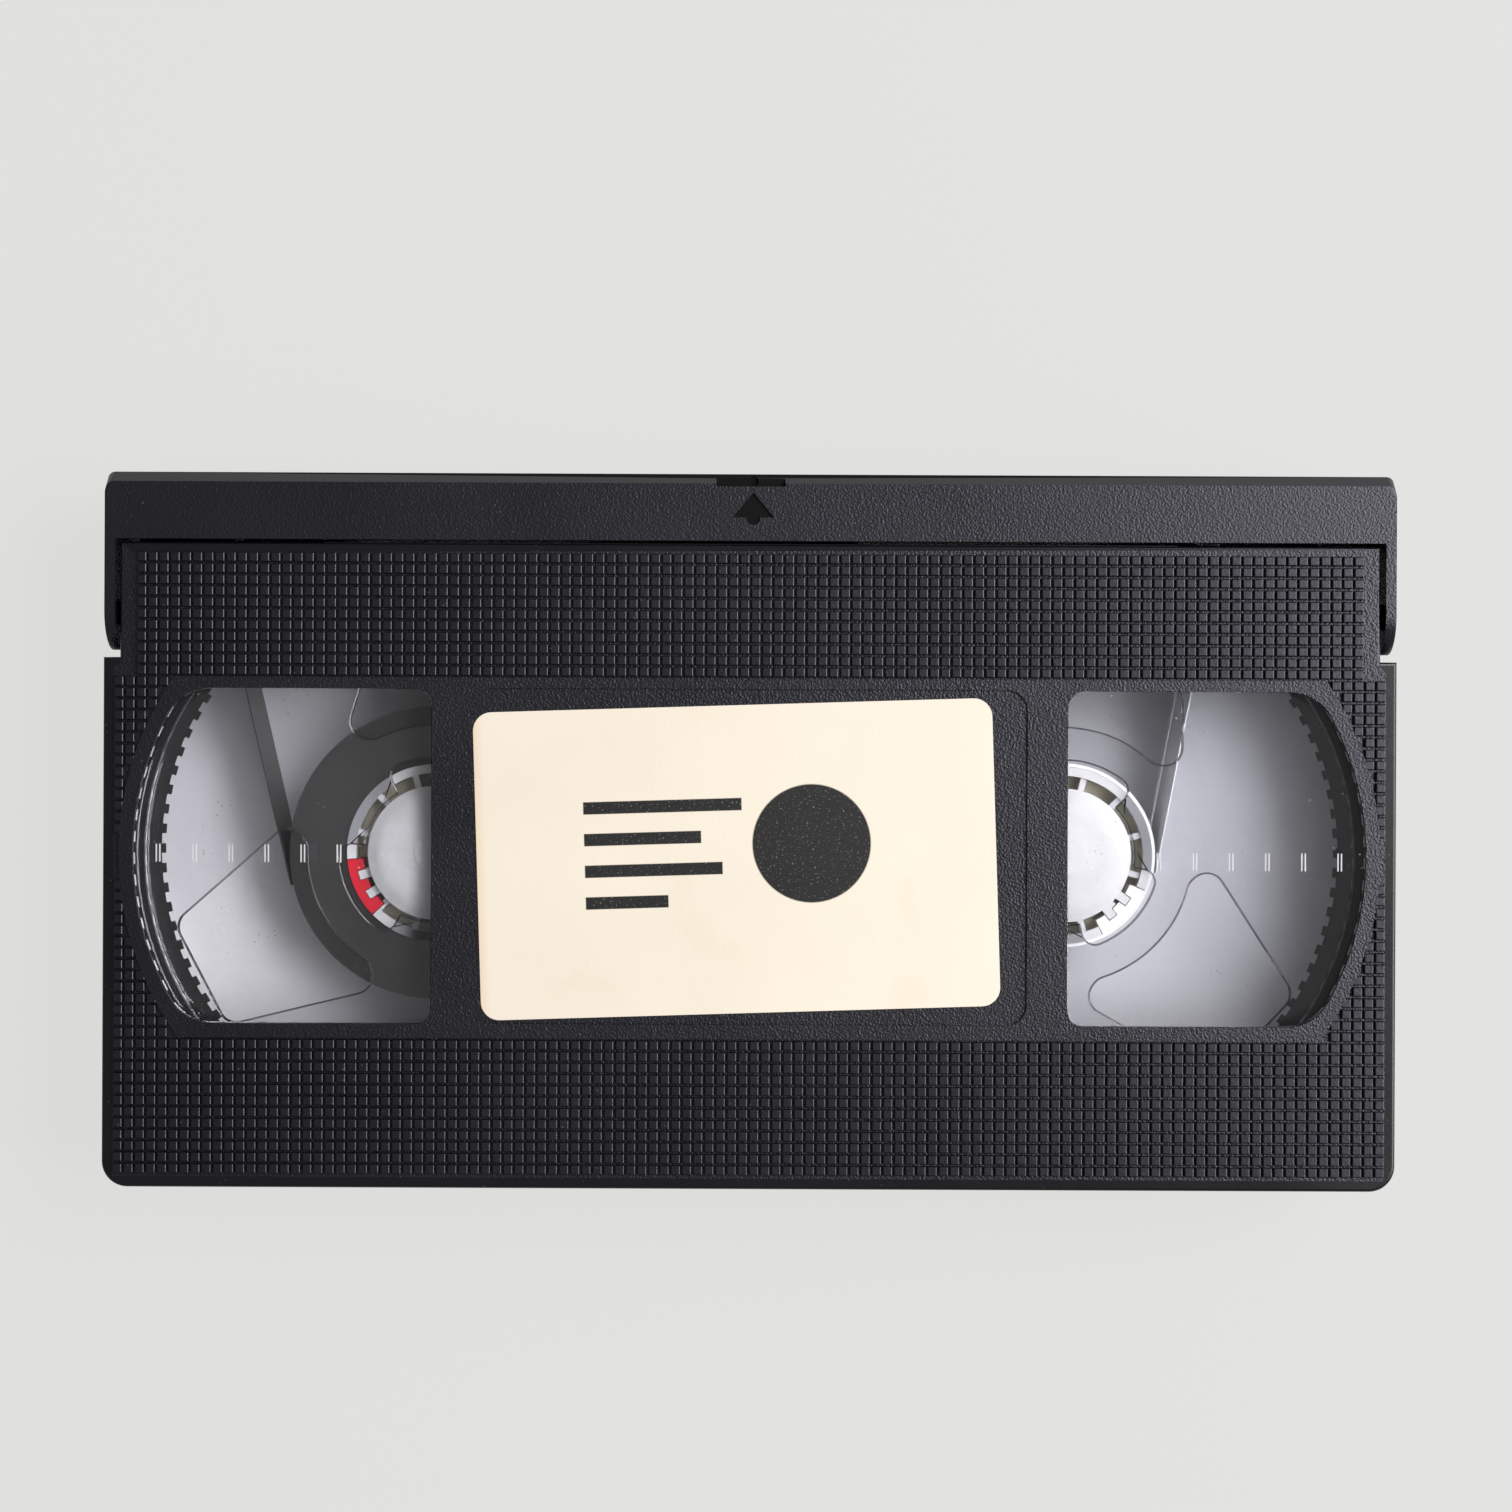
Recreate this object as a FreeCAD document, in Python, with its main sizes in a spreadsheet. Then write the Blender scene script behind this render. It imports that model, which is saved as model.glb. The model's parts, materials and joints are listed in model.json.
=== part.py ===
import FreeCAD, Part
import math
import os
import Sketcher

# A video cassette, flat on its underside with the label up. X runs along its long side, +Y points to the
# hinged lid in front, Z is up, and the origin is the middle of the footprint on the underside.

# Driving sizes in millimetres
driving = {
    # Case walls and heights
    "floor_thickness": 2.0,
    "top_wall": 1.8,
    "side_wall": 1.8,
    "lower_shell_height": 12.5,
    "head_room": 3.55,
    "corner_radius": 3.75,
    "bottom_chamfer": 0.8,
    "ledge_drop": 0.7,
    "ledge_width": 1.6,
    "ledge_round": 0.5,
    "grip_depth": 0.35,
    "grip_gap": 0.4,
    "front_rows": 10,
    "rear_rows": 45,
    # Room round the reels
    "side_room": 2.8,
    "spine_room": 3.6,
    "front_room": 1.4,
    "front_lip": 0.6,
    "seat_gap": 0.3,
    # Reels
    "reel_gap": 6.0,
    "flange_radius": 43.2,
    "flange_thickness": 1.2,
    "tooth_count": 90,
    "tooth_depth": 0.65,
    "tooth_land": 1.5,
    "hub_radius": 13.0,
    "hub_wall": 1.3,
    "dome_radius": 9.8,
    "dome_rise": 1.6,
    "dome_shoulder_radius": 7.6,
    "dome_shoulder_rise": 1.15,
    "button_radius": 2.7,
    "button_rise": 0.3,
    "drive_bore_radius": 8.5,
    "drive_lead_in": 3.0,
    "drive_step": 0.3,
    "spline_count": 6,
    "spline_depth": 1.6,
    "spline_width": 2.2,
    "hub_rib_count": 12,
    "hub_rib_width": 0.9,
    "hub_rib_turn": 15.0,
    "weld_depth": 0.3,
    "skirt_radius": 14.3,
    "skirt_drop": 2.8,
    "web_thickness": 1.4,
    "groove_depth": 3.4,
    "top_flange_thickness": 1.0,
    "top_flange_inset": 0.5,
    "flange_bore_gap": 0.4,
    "clamp_depth": 2.4,
    "clamp_half_angle": 19.8,
    "clamp_gap": 0.12,
    "clamp_tooth_width": 1.3,
    "clamp_tooth_reach": 1.1,
    "clamp_tooth_turn": 7.7,
    "clamp_seat_turn": 0.6,
    "supply_clamp_angle": 204.8,
    "takeup_clamp_angle": 316.7,
    "supply_flange_angle": 87.6,
    "takeup_flange_angle": 76.7,
    "flange_window_inner": 18.9,
    "flange_window_arc": 31.0,
    "flange_window_corner": 21.6,
    "flange_window_wide": 39.6,
    "flange_window_outer": 39.5,
    "flange_window_narrow": 12.2,
    "flange_window_round": 2.5,
    "crescent_outer": 13.9,
    "crescent_angle": 33.0,
    "crescent_round": 1.8,
    # Tape
    "tape_width": 12.65,
    "tape_edge_gap": 0.4,
    "tape_thickness": 0.16,
    "tape_seat_gap": 0.3,
    "pack_radius": 21.5,
    "leader_radius": 13.5,
    "tape_front_gap": 1.65,
    "splice_place": 30.0,
    # Reel openings in the floor
    "reel_hole_radius": 15.5,
    "reel_ring_radius": 18.0,
    "reel_ring_height": 1.7,
    # Guides for the tape
    "post_radius": 3.0,
    "roller_radius": 3.0,
    "roller_pin_radius": 1.0,
    "roller_clearance": 0.05,
    "guide_boss_wall": 1.4,
    "guide_boss_height": 1.6,
    "guide_socket_depth": 1.0,
    "supply_post_inset": 18.8,
    "takeup_post_inset": 27.8,
    "roller_inset": 19.3,
    "roller_setback": 7.9,
    # Pockets for the machine's loading poles
    "pocket_wall": 1.0,
    "pocket_inner": 16.0,
    "pocket_post_gap": 2.2,
    "lamp_hole_radius": 4.5,
    "lamp_tube_wall": 1.2,
    "lamp_tube_height": 9.5,
    "lamp_setback": 7.0,
    # Lid
    "lid_wall": 1.5,
    "lid_top_depth": 9.8,
    "lid_rear_gap": 0.4,
    "lid_front_gap": 0.4,
    "lid_side_inset": 0.3,
    "lid_arm_gap": 0.6,
    "lid_end_gap": 1.2,
    "lid_bottom_gap": 0.8,
    "lid_chamfer": 1.5,
    "lid_corner_round": 1.2,
    "lid_arm_low": 12.0,
    "lid_notch_width": 10.0,
    "lid_notch_depth": 1.9,
    "lid_notch_drop": 0.8,
    "hinge_setback": 20.3,
    "hinge_drop": 5.5,
    "hinge_pin_radius": 1.9,
    "hinge_pin_reach": 5.0,
    "hinge_clearance": 0.06,
    "lid_spring_wire": 0.5,
    "lid_spring_gap": 0.3,
    "lid_spring_turns": 3.0,
    # Lid lock
    "lock_width": 2.4,
    "lock_height": 4.0,
    "lock_length": 11.0,
    "lock_pin_radius": 1.1,
    "lock_wall_gap": 1.6,
    "lock_nose_length": 2.4,
    "lock_nose_slant": 0.6,
    "lock_hub_wall": 1.0,
    "lug_length": 1.8,
    "lug_height": 1.8,
    "lug_reach": 1.3,
    # Brakes
    "brake_lean": 6.5,
    "brake_pivot_setback": 6.0,
    "brake_pin_radius": 1.2,
    "brake_clearance": 0.05,
    "brake_hub_wall": 1.4,
    "brake_thickness": 2.1,
    "brake_arm_width": 2.2,
    "brake_tip_turn": 38.17,
    "brake_tooth_gap": 0.3,
    "brake_inner_end": 5.2,
    "brake_end_setback": 1.6,
    "brake_root_half": 2.1,
    "brake_hook_width": 1.5,
    "brake_hook_length": 3.5,
    "release_hole_radius": 3.5,
    "release_hole_setback": 12.0,
    "release_plate_width": 13.0,
    "release_plate_length": 10.5,
    "release_rail_x": 4.6,
    "release_rail_width": 1.2,
    # Windows and label
    "window_inner": 46.1,
    "window_front": 20.6,
    "window_rear": 28.1,
    "window_radius": 43.3,
    "window_inner_round": 2.5,
    "window_outer_round": 7.0,
    "window_gap": 0.12,
    "window_flange": 1.4,
    "window_flange_thickness": 0.8,
    "window_sunk": 0.3,
    "island_front": 22.5,
    "island_rear": 30.4,
    "island_radius": 45.3,
    "label_recess_half": 40.3,
    "label_recess_front": 20.7,
    "label_recess_rear": 28.0,
    "label_recess_depth": 0.4,
    "label_recess_round": 3.0,
    "label_length": 75.4,
    "label_width": 44.7,
    "label_thickness": 0.12,
    "label_round": 2.7,
    "label_turn": 1.9,
    "label_shift_x": -1.85,
    "label_shift_y": -4.0,
    # Leaf spring over the reels
    "leaf_width": 8.0,
    "leaf_thickness": 0.3,
    "leaf_flat_half": 14.0,
    "leaf_overlap": 2.0,
    "leaf_gap": 0.2,
    # Screws
    "screw_boss_radius": 3.2,
    "screw_hole_radius": 1.5,
    "screw_thread_radius": 1.3,
    "screw_head_radius": 2.5,
    "screw_head_height": 1.6,
    "screw_well_radius": 2.8,
    "screw_well_depth": 2.6,
    "screw_length": 16.0,
    "screw_tip_room": 0.8,
    "screw_rear_inset": 7.5,
    "screw_front_inset": 9.5,
    "screw_front_setback": 5.2,
    "screw_middle_y": 24.0,
    # Spine
    "spine_recess_half": 74.0,
    "spine_recess_low": 3.0,
    "spine_recess_depth": 0.4,
    "tab_recess_x": 84.0,
    "tab_recess_width": 7.0,
    "tab_recess_height": 6.0,
    "tab_recess_low": 4.0,
    "tab_recess_depth": 1.2,
}

document = FreeCAD.newDocument("video_cassette")
sheet = document.addObject("Spreadsheet::Sheet", "Sizes")
places = document.addObject("Spreadsheet::Sheet", "Places")


class Size:
    """A length or angle that knows its number and the expression that binds it to the sheets."""

    def __init__(self, number, text):
        self.number = number
        self.text = text

    def __add__(self, other):
        other = as_size(other)
        return Size(self.number + other.number, f"({self.text} + {other.text})")

    def __radd__(self, other):
        return as_size(other) + self

    def __sub__(self, other):
        other = as_size(other)
        return Size(self.number - other.number, f"({self.text} - {other.text})")

    def __rsub__(self, other):
        return as_size(other) - self

    def __mul__(self, other):
        other = as_size(other)
        return Size(self.number * other.number, f"({self.text} * {other.text})")

    def __rmul__(self, other):
        return as_size(other) * self

    def __truediv__(self, other):
        other = as_size(other)
        return Size(self.number / other.number, f"({self.text} / {other.text})")

    def __neg__(self):
        return as_size(0) - self


class Values:
    """Named sizes, read as attributes."""


def as_size(value):
    if isinstance(value, Size):
        return value
    return Size(float(value), f"({value})")


def root(value):
    return Size(math.sqrt(value.number), f"sqrt({value.text})")


def cosine(angle):
    return Size(math.cos(math.radians(angle.number)), f"cos({angle.text})")


def sine(angle):
    return Size(math.sin(math.radians(angle.number)), f"sin({angle.text})")


def fill_sheet():
    values = Values()
    for row, (name, number) in enumerate(driving.items(), start=1):
        sheet.set(f"A{row}", name)
        sheet.set(f"B{row}", str(number))
        sheet.setAlias(f"B{row}", name)
        setattr(values, name, Size(float(number), f"Sizes.{name}"))
    return values


size = fill_sheet()
place = Values()
place_rows = []


def derive(name, value):
    """Keeps a worked-out value in the second sheet under its own name."""
    place_rows.append(name)
    row = len(place_rows)
    places.set(f"A{row}", name)
    places.set(f"B{row}", "=" + value.text)
    places.setAlias(f"B{row}", name)
    setattr(place, name, Size(value.number, f"Places.{name}"))


# Heights, from the underside up
derive("ring_top", size.floor_thickness + size.reel_ring_height)
derive("flange_bottom", place.ring_top + size.seat_gap)
derive("flange_top", place.flange_bottom + size.flange_thickness)
derive("tape_bottom", place.flange_top + size.tape_edge_gap)
derive("tape_top", place.tape_bottom + size.tape_width)
derive("hub_top", place.tape_top + size.tape_edge_gap)
derive("top_flange_top", place.hub_top + size.top_flange_thickness)
derive("roof", place.top_flange_top + size.head_room)
derive("case_top", place.roof + size.top_wall)
derive("ledge_top", place.case_top - size.ledge_drop)
derive("grip_floor", place.case_top - size.grip_depth)

# Outline, from the reels out to the lid and the spine
derive("reel_x", size.flange_radius + size.reel_gap / 2)
derive("half_width", place.reel_x + size.flange_radius + size.side_room + size.side_wall)
derive("case_depth", size.side_wall + size.spine_room + size.flange_radius * 2 + size.front_room
       + size.front_lip + size.lid_rear_gap + size.lid_top_depth)
derive("half_depth", place.case_depth / 2)
derive("reel_y", size.side_wall + size.spine_room + size.flange_radius - place.half_depth)
derive("lid_rear", place.half_depth - size.lid_top_depth)
derive("shell_front", place.lid_rear - size.lid_rear_gap)
derive("lid_inner_front", place.half_depth - size.lid_wall)
derive("floor_front", place.lid_inner_front - size.lid_front_gap)
derive("lid_half_width", place.half_width - size.lid_side_inset)
derive("lid_inner_half", place.lid_half_width - size.lid_wall)
derive("neck_half", place.lid_inner_half - size.lid_arm_gap)
derive("neck_inner", place.neck_half - size.side_wall)
derive("hinge_y", place.half_depth - size.hinge_setback)
derive("hinge_z", place.case_top - size.hinge_drop)
derive("step_y", place.hinge_y - size.hinge_drop - size.lid_end_gap)

# Tape guides and loading pockets
derive("tape_front", place.lid_inner_front - size.tape_front_gap)
derive("post_y", place.tape_front - size.tape_thickness - size.tape_seat_gap - size.post_radius)
derive("supply_post_x", size.supply_post_inset - place.half_width)
derive("takeup_post_x", place.half_width - size.takeup_post_inset)
derive("roller_x", size.roller_inset - place.half_width)
derive("roller_y", place.post_y - size.roller_setback)
derive("guide_boss_top", size.floor_thickness + size.guide_boss_height)
derive("guide_socket_bottom", place.guide_boss_top - size.guide_boss_height - size.guide_socket_depth)
derive("pocket_outer", place.takeup_post_x - size.post_radius - size.pocket_post_gap)
derive("pocket_arc", size.flange_radius + size.front_room)
derive("pocket_front", place.post_y + size.post_radius - size.tape_seat_gap)

# Windows
derive("window_top", place.case_top - size.window_sunk)
derive("label_floor", place.case_top - size.label_recess_depth)

# Brakes and lid lock
derive("brake_pivot_y", size.brake_pivot_setback - place.half_depth)
derive("brake_reach", size.flange_radius + size.brake_tooth_gap)
derive("brake_tip_x", place.reel_x - cosine(size.brake_tip_turn) * place.brake_reach)
derive("brake_tip_y", place.reel_y - sine(size.brake_tip_turn) * place.brake_reach)
derive("brake_pivot_x", place.brake_tip_x + size.brake_lean)
derive("brake_bottom", place.flange_bottom - size.seat_gap)
derive("release_y", size.release_hole_setback - place.half_depth)
derive("lock_x", place.neck_inner - size.lock_wall_gap - size.lock_width / 2)


def bind(item, name, value):
    """Sets a property by an expression on the sheets."""
    item.setExpression(name, as_size(value).text)


def new_body(name):
    body = document.addObject("PartDesign::Body", name)
    body.Label = name
    return body


def origin_part(body, role):
    for item in body.Origin.OriginFeatures:
        if item.Role == role:
            return item
    raise ValueError(role)


def place_body(body, x=None, y=None, z=None):
    for axis, value in (("x", x), ("y", y), ("z", z)):
        if value is not None:
            bind(body, f"Placement.Base.{axis}", value)


def sketch_on(body, name, plane="XY_Plane", level=None):
    sketch = body.newObject("Sketcher::SketchObject", name)
    sketch.AttachmentSupport = [(origin_part(body, plane), "")]
    sketch.MapMode = "FlatFace"
    if level is not None:
        bind(sketch, "AttachmentOffset.Base.z", level)
    return sketch


def pin_point(sketch, geometry, end, point):
    """Holds one end of a line or arc, or a circle's centre, at a place bound to the sheets."""
    for kind, coordinate in (("DistanceX", point[0]), ("DistanceY", point[1])):
        coordinate = as_size(coordinate)
        index = sketch.addConstraint(Sketcher.Constraint(kind, -1, 1, geometry, end, coordinate.number))
        sketch.setExpression(f"Constraints[{index}]", coordinate.text)


def bind_radius(sketch, geometry, radius):
    index = sketch.addConstraint(Sketcher.Constraint("Radius", geometry, radius.number))
    sketch.setExpression(f"Constraints[{index}]", radius.text)


def draw_circle(sketch, x, y, radius):
    centre = FreeCAD.Vector(as_size(x).number, as_size(y).number, 0)
    circle = Part.Circle(centre, FreeCAD.Vector(0, 0, 1), radius.number)
    geometry = sketch.addGeometry(circle)
    pin_point(sketch, geometry, 3, (x, y))
    bind_radius(sketch, geometry, radius)


def flat(point):
    return FreeCAD.Vector(as_size(point[0]).number, as_size(point[1]).number, 0)


def arc_side(start, end, centre, radius):
    """The short arc between two points, with the numbers of its first and last ends."""
    first = math.atan2(start.y - centre.y, start.x - centre.x)
    last = math.atan2(end.y - centre.y, end.x - centre.x)
    circle = Part.Circle(centre, FreeCAD.Vector(0, 0, 1), radius)
    if (last - first) % (2 * math.pi) < math.pi:
        return Part.ArcOfCircle(circle, first, last), (1, 2)
    return Part.ArcOfCircle(circle, last, first), (2, 1)


def draw(sketch, corners, arcs=None):
    """A closed outline. arcs gives, for the corner that a side starts from, its centre and radius."""
    arcs = arcs or {}
    count = len(corners)
    sides = []
    for number, corner in enumerate(corners):
        start = flat(corner)
        end = flat(corners[(number + 1) % count])
        if number in arcs:
            centre, radius = arcs[number]
            shape, ends = arc_side(start, end, flat(centre), radius.number)
            geometry = sketch.addGeometry(shape)
            bind_radius(sketch, geometry, radius)
        else:
            ends = (1, 2)
            geometry = sketch.addGeometry(Part.LineSegment(start, end))
        sides.append((geometry, ends))
    for number, corner in enumerate(corners):
        geometry, ends = sides[number]
        following, following_ends = sides[(number + 1) % count]
        sketch.addConstraint(Sketcher.Constraint("Coincident", geometry, ends[1], following, following_ends[0]))
    for number, corner in enumerate(corners):
        geometry, ends = sides[number]
        pin_point(sketch, geometry, ends[0], corner)


def box_corners(low, high):
    return [(low[0], low[1]), (high[0], low[1]), (high[0], high[1]), (low[0], high[1])]


def pad(body, sketch, name, length, both_ways=False, backwards=False):
    feature = body.newObject("PartDesign::Pad", name)
    feature.Profile = sketch
    bind(feature, "Length", length)
    feature.Midplane = both_ways
    feature.Reversed = backwards
    return feature


def pocket(body, sketch, name, length=None, both_ways=False, upwards=False):
    """Cuts against the sketch's normal, or along it where upwards is set. No length cuts right through."""
    feature = body.newObject("PartDesign::Pocket", name)
    feature.Profile = sketch
    if length is None:
        feature.Type = "ThroughAll"
        feature.Midplane = True
    else:
        bind(feature, "Length", length)
        feature.Midplane = both_ways
    feature.Reversed = upwards
    return feature


def raise_block(body, name, corners, bottom, height, arcs=None):
    sketch = sketch_on(body, name + "_outline", level=bottom)
    draw(sketch, corners, arcs)
    return pad(body, sketch, name, height)


def raise_discs(body, name, centres, radius, bottom, height):
    sketch = sketch_on(body, name + "_outline", level=bottom)
    for x, y in centres:
        draw_circle(sketch, x, y, radius)
    return pad(body, sketch, name, height)


def bore_holes(body, name, centres, radius, bottom=None, height=None):
    """Round holes, right through or over a height above a level."""
    sketch = sketch_on(body, name + "_outline", level=bottom)
    for x, y in centres:
        draw_circle(sketch, x, y, radius)
    return pocket(body, sketch, name, height, upwards=height is not None)


def cut_block(body, name, corners, bottom=None, height=None, arcs=None):
    sketch = sketch_on(body, name + "_outline", level=bottom)
    draw(sketch, corners, arcs)
    return pocket(body, sketch, name, height, upwards=height is not None)


def revolve(body, name, corners):
    """Turns an outline of radius and height about the body's upright axis."""
    sketch = sketch_on(body, name + "_profile", "XZ_Plane")
    draw(sketch, corners)
    feature = body.newObject("PartDesign::Revolution", name)
    feature.Profile = sketch
    feature.ReferenceAxis = (sketch, ["V_Axis"])
    feature.Angle = 360
    return feature


def repeat_round(body, feature, name, count, angle=360):
    pattern = body.newObject("PartDesign::PolarPattern", name)
    pattern.Originals = [feature]
    pattern.Axis = (origin_part(body, "Z_Axis"), [""])
    pattern.Angle = angle
    bind(pattern, "Occurrences", count)
    body.Tip = pattern
    return pattern


def repeat_row(body, feature, name, count, span):
    pattern = body.newObject("PartDesign::LinearPattern", name)
    pattern.Originals = [feature]
    pattern.Direction = (origin_part(body, "Y_Axis"), [""])
    pattern.Reversed = True
    bind(pattern, "Length", span)
    bind(pattern, "Occurrences", count)
    body.Tip = pattern
    return pattern


def mirror(body, features, name):
    """The same features on the other side of the middle plane."""
    feature = body.newObject("PartDesign::Mirrored", name)
    feature.Originals = features
    feature.MirrorPlane = (origin_part(body, "YZ_Plane"), [""])
    body.Tip = feature
    return feature


def soften(body, base, kind, name, width, wanted):
    """Rounds or chamfers the edges that the wanted test picks."""
    base.recompute(True)
    edges = [f"Edge{number}" for number, edge in enumerate(base.Shape.Edges, start=1) if wanted(edge)]
    feature = body.newObject("PartDesign::" + kind, name)
    feature.Base = (base, edges)
    bind(feature, "Radius" if kind == "Fillet" else "Size", width)
    return feature


def near(first, second):
    return abs(first - second) < 0.001


def upright(edge):
    """Whether an edge runs straight up, and where it stands."""
    low, high = edge.Vertexes[0].Point, edge.Vertexes[-1].Point
    return near(low.x, high.x) and near(low.y, high.y) and not near(low.z, high.z)


def upright_at(points):
    """Picks the upright edges over the given places."""
    spots = [flat(point) for point in points]

    def wanted(edge):
        if not upright(edge):
            return False
        foot = edge.Vertexes[0].Point
        return any(near(foot.x, spot.x) and near(foot.y, spot.y) for spot in spots)
    return wanted


def upright_between(inner, outer):
    """Picks the upright edges that stand between two radii about the body's axis."""
    def wanted(edge):
        foot = edge.Vertexes[0].Point
        reach = math.hypot(foot.x, foot.y)
        clear = not near(reach, inner.number) and not near(reach, outer.number)
        return upright(edge) and clear and inner.number < reach < outer.number
    return wanted


def at_level(level):
    def wanted(edge):
        return all(near(vertex.Point.z, level.number) for vertex in edge.Vertexes)
    return wanted


def at_front_corner(side, rear):
    """Picks the edges of both end faces that lie in front of a plane."""
    def wanted(edge):
        ends = [vertex.Point for vertex in edge.Vertexes]
        at_side = near(ends[0].x, ends[-1].x) and near(abs(ends[0].x), side.number)
        return at_side and all(end.y > rear.number or near(end.y, rear.number) for end in ends)
    return wanted


def both_sides(points):
    return list(points) + [(-as_size(x), y) for x, y in points]


reel_centres = both_sides([(place.reel_x, place.reel_y)])
rear_screws = both_sides([(place.half_width - size.screw_rear_inset, size.screw_rear_inset - place.half_depth)])
front_screws = both_sides([(place.half_width - size.screw_front_inset,
                            place.hinge_y - size.screw_front_setback)])
screw_spots = rear_screws + front_screws + [(as_size(0), size.screw_middle_y)]
lock_spot = (place.lock_x, place.hinge_y + size.lock_width)
brake_spots = both_sides([(place.brake_pivot_x, place.brake_pivot_y)])
lamp_spot = (as_size(0), place.pocket_front - size.lamp_setback - size.lamp_hole_radius)


def shell_outline(front, inset=0):
    """The case in plan: the full width at the spine, narrower between the lid's arms."""
    wide = place.half_width - inset
    neck = place.neck_half - inset
    rear = inset - place.half_depth
    step = place.step_y - inset
    return [(-wide, rear), (wide, rear), (wide, step), (neck, step),
            (neck, front), (-neck, front), (-neck, step), (-wide, step)]


def rear_corners(inset=0):
    return both_sides([(place.half_width - inset, inset - place.half_depth)])


def pocket_outline(inner, outer, radius, front):
    """A loading pocket: straight sides and a rear wall that follows the reel."""
    def rear(x):
        across = x - place.reel_x
        return place.reel_y + root(radius * radius - across * across)
    corners = [(inner, front), (inner, rear(inner)), (outer, rear(outer)), (outer, front)]
    return corners, {1: ((place.reel_x, place.reel_y), radius)}


def add_pocket_walls(body, name, bottom, height, front):
    inner = size.pocket_inner - size.pocket_wall
    outer = place.pocket_outer + size.pocket_wall
    corners, arcs = pocket_outline(inner, outer, place.pocket_arc, front)
    block = raise_block(body, name, corners, bottom, height, arcs)
    return mirror(body, [block], name + "_both")


def cut_pockets(body, name, bottom, height, front):
    radius = place.pocket_arc + size.pocket_wall
    corners, arcs = pocket_outline(size.pocket_inner, place.pocket_outer, radius, front)
    cut = cut_block(body, name, corners, bottom, height, arcs)
    return mirror(body, [cut], name + "_both")


def cut_spine(body, name, low, high):
    """The shallow field along the spine."""
    sketch = sketch_on(body, name + "_outline", "XZ_Plane", level=place.half_depth)
    draw(sketch, box_corners((-size.spine_recess_half, low), (size.spine_recess_half, high)))
    return pocket(body, sketch, name, size.spine_recess_depth)


def make_lower_shell():
    body = new_body("lower_shell")
    shell = raise_block(body, "tray", shell_outline(place.floor_front), None, size.lower_shell_height)
    rounded = soften(body, shell, "Fillet", "spine_corners", size.corner_radius, upright_at(rear_corners()))
    soften(body, rounded, "Chamfer", "bottom_edge", size.bottom_chamfer, at_level(as_size(0)))
    depth = size.lower_shell_height - size.floor_thickness
    inner = shell_outline(place.floor_front + 1, size.side_wall)
    cut_block(body, "inside", inner, size.floor_thickness, depth)
    add_pocket_walls(body, "pocket_walls", size.floor_thickness, depth, place.pocket_front)
    cut_pockets(body, "pockets", None, size.lower_shell_height, place.floor_front + 1)
    raise_discs(body, "reel_rings", reel_centres, size.reel_ring_radius, size.floor_thickness,
                size.reel_ring_height)
    raise_discs(body, "screw_bosses", screw_spots, size.screw_boss_radius, size.floor_thickness, depth)
    guides = [(place.roller_x, place.roller_y, size.roller_pin_radius),
              (place.supply_post_x, place.post_y, size.post_radius),
              (place.takeup_post_x, place.post_y, size.post_radius)]
    for number, (x, y, radius) in enumerate(guides, start=1):
        raise_discs(body, f"guide_boss_{number}", [(x, y)], radius + size.guide_boss_wall,
                    size.floor_thickness, size.guide_boss_height)
    raise_discs(body, "lamp_tube", [lamp_spot], size.lamp_hole_radius + size.lamp_tube_wall,
                size.floor_thickness, size.lamp_tube_height)
    raise_discs(body, "brake_pins", brake_spots, size.brake_pin_radius, size.floor_thickness,
                size.brake_thickness + place.brake_bottom - size.floor_thickness)
    rail_rear = place.release_y - size.release_hole_radius
    rail = raise_block(body, "release_rail",
                       box_corners((size.release_rail_x, rail_rear),
                                   (size.release_rail_x + size.release_rail_width,
                                    place.release_y + size.release_hole_radius)),
                       size.floor_thickness, place.brake_bottom - size.seat_gap - size.floor_thickness)
    mirror(body, [rail], "release_rails")
    raise_discs(body, "lock_pin", [lock_spot], size.lock_pin_radius, size.floor_thickness,
                size.lock_height * 2)
    for number, (x, y, radius) in enumerate(guides, start=1):
        bore_holes(body, f"guide_socket_{number}", [(x, y)], radius + size.roller_clearance,
                   place.guide_socket_bottom, size.guide_boss_height + size.guide_socket_depth)
    bore_holes(body, "reel_holes", reel_centres, size.reel_hole_radius)
    bore_holes(body, "lamp_hole", [lamp_spot], size.lamp_hole_radius)
    bore_holes(body, "release_hole", [(as_size(0), place.release_y)], size.release_hole_radius)
    bore_holes(body, "screw_holes", screw_spots, size.screw_hole_radius)
    bore_holes(body, "screw_wells", screw_spots, size.screw_well_radius, as_size(0), size.screw_well_depth)
    cut_spine(body, "spine_field", size.spine_recess_low, size.lower_shell_height)
    tab = sketch_on(body, "tab_outline", "XZ_Plane", level=place.half_depth)
    tab_left = -size.tab_recess_x
    draw(tab, box_corners((tab_left, size.tab_recess_low),
                          (tab_left + size.tab_recess_width, size.tab_recess_low + size.tab_recess_height)))
    pocket(body, tab, "tab_recess", size.tab_recess_depth)
    nose_front = lock_spot[1] + size.lock_length + size.lock_wall_gap
    cut_block(body, "lock_slot",
              box_corners((place.neck_inner - 1, nose_front - size.lock_nose_length * 2),
                          (place.neck_half + 1, place.floor_front + 1)),
              size.lock_height + size.floor_thickness - size.seat_gap, size.lower_shell_height)
    return body


def window_outline(side, growth):
    """A reel window: straight inner edge, and an outer edge that follows the reel."""
    radius = size.window_radius + growth
    inner = size.window_inner - growth
    front = size.window_front + growth
    rear = -size.window_rear - growth

    def outer(y):
        rise = y - place.reel_y
        return place.reel_x + root(radius * radius - rise * rise)
    corners = [(inner, rear), (outer(rear), rear), (outer(front), front), (inner, front)]
    centre = (place.reel_x * side, place.reel_y)
    corners = [(as_size(x) * side, y) for x, y in corners]
    return corners, {1: (centre, radius)}


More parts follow.
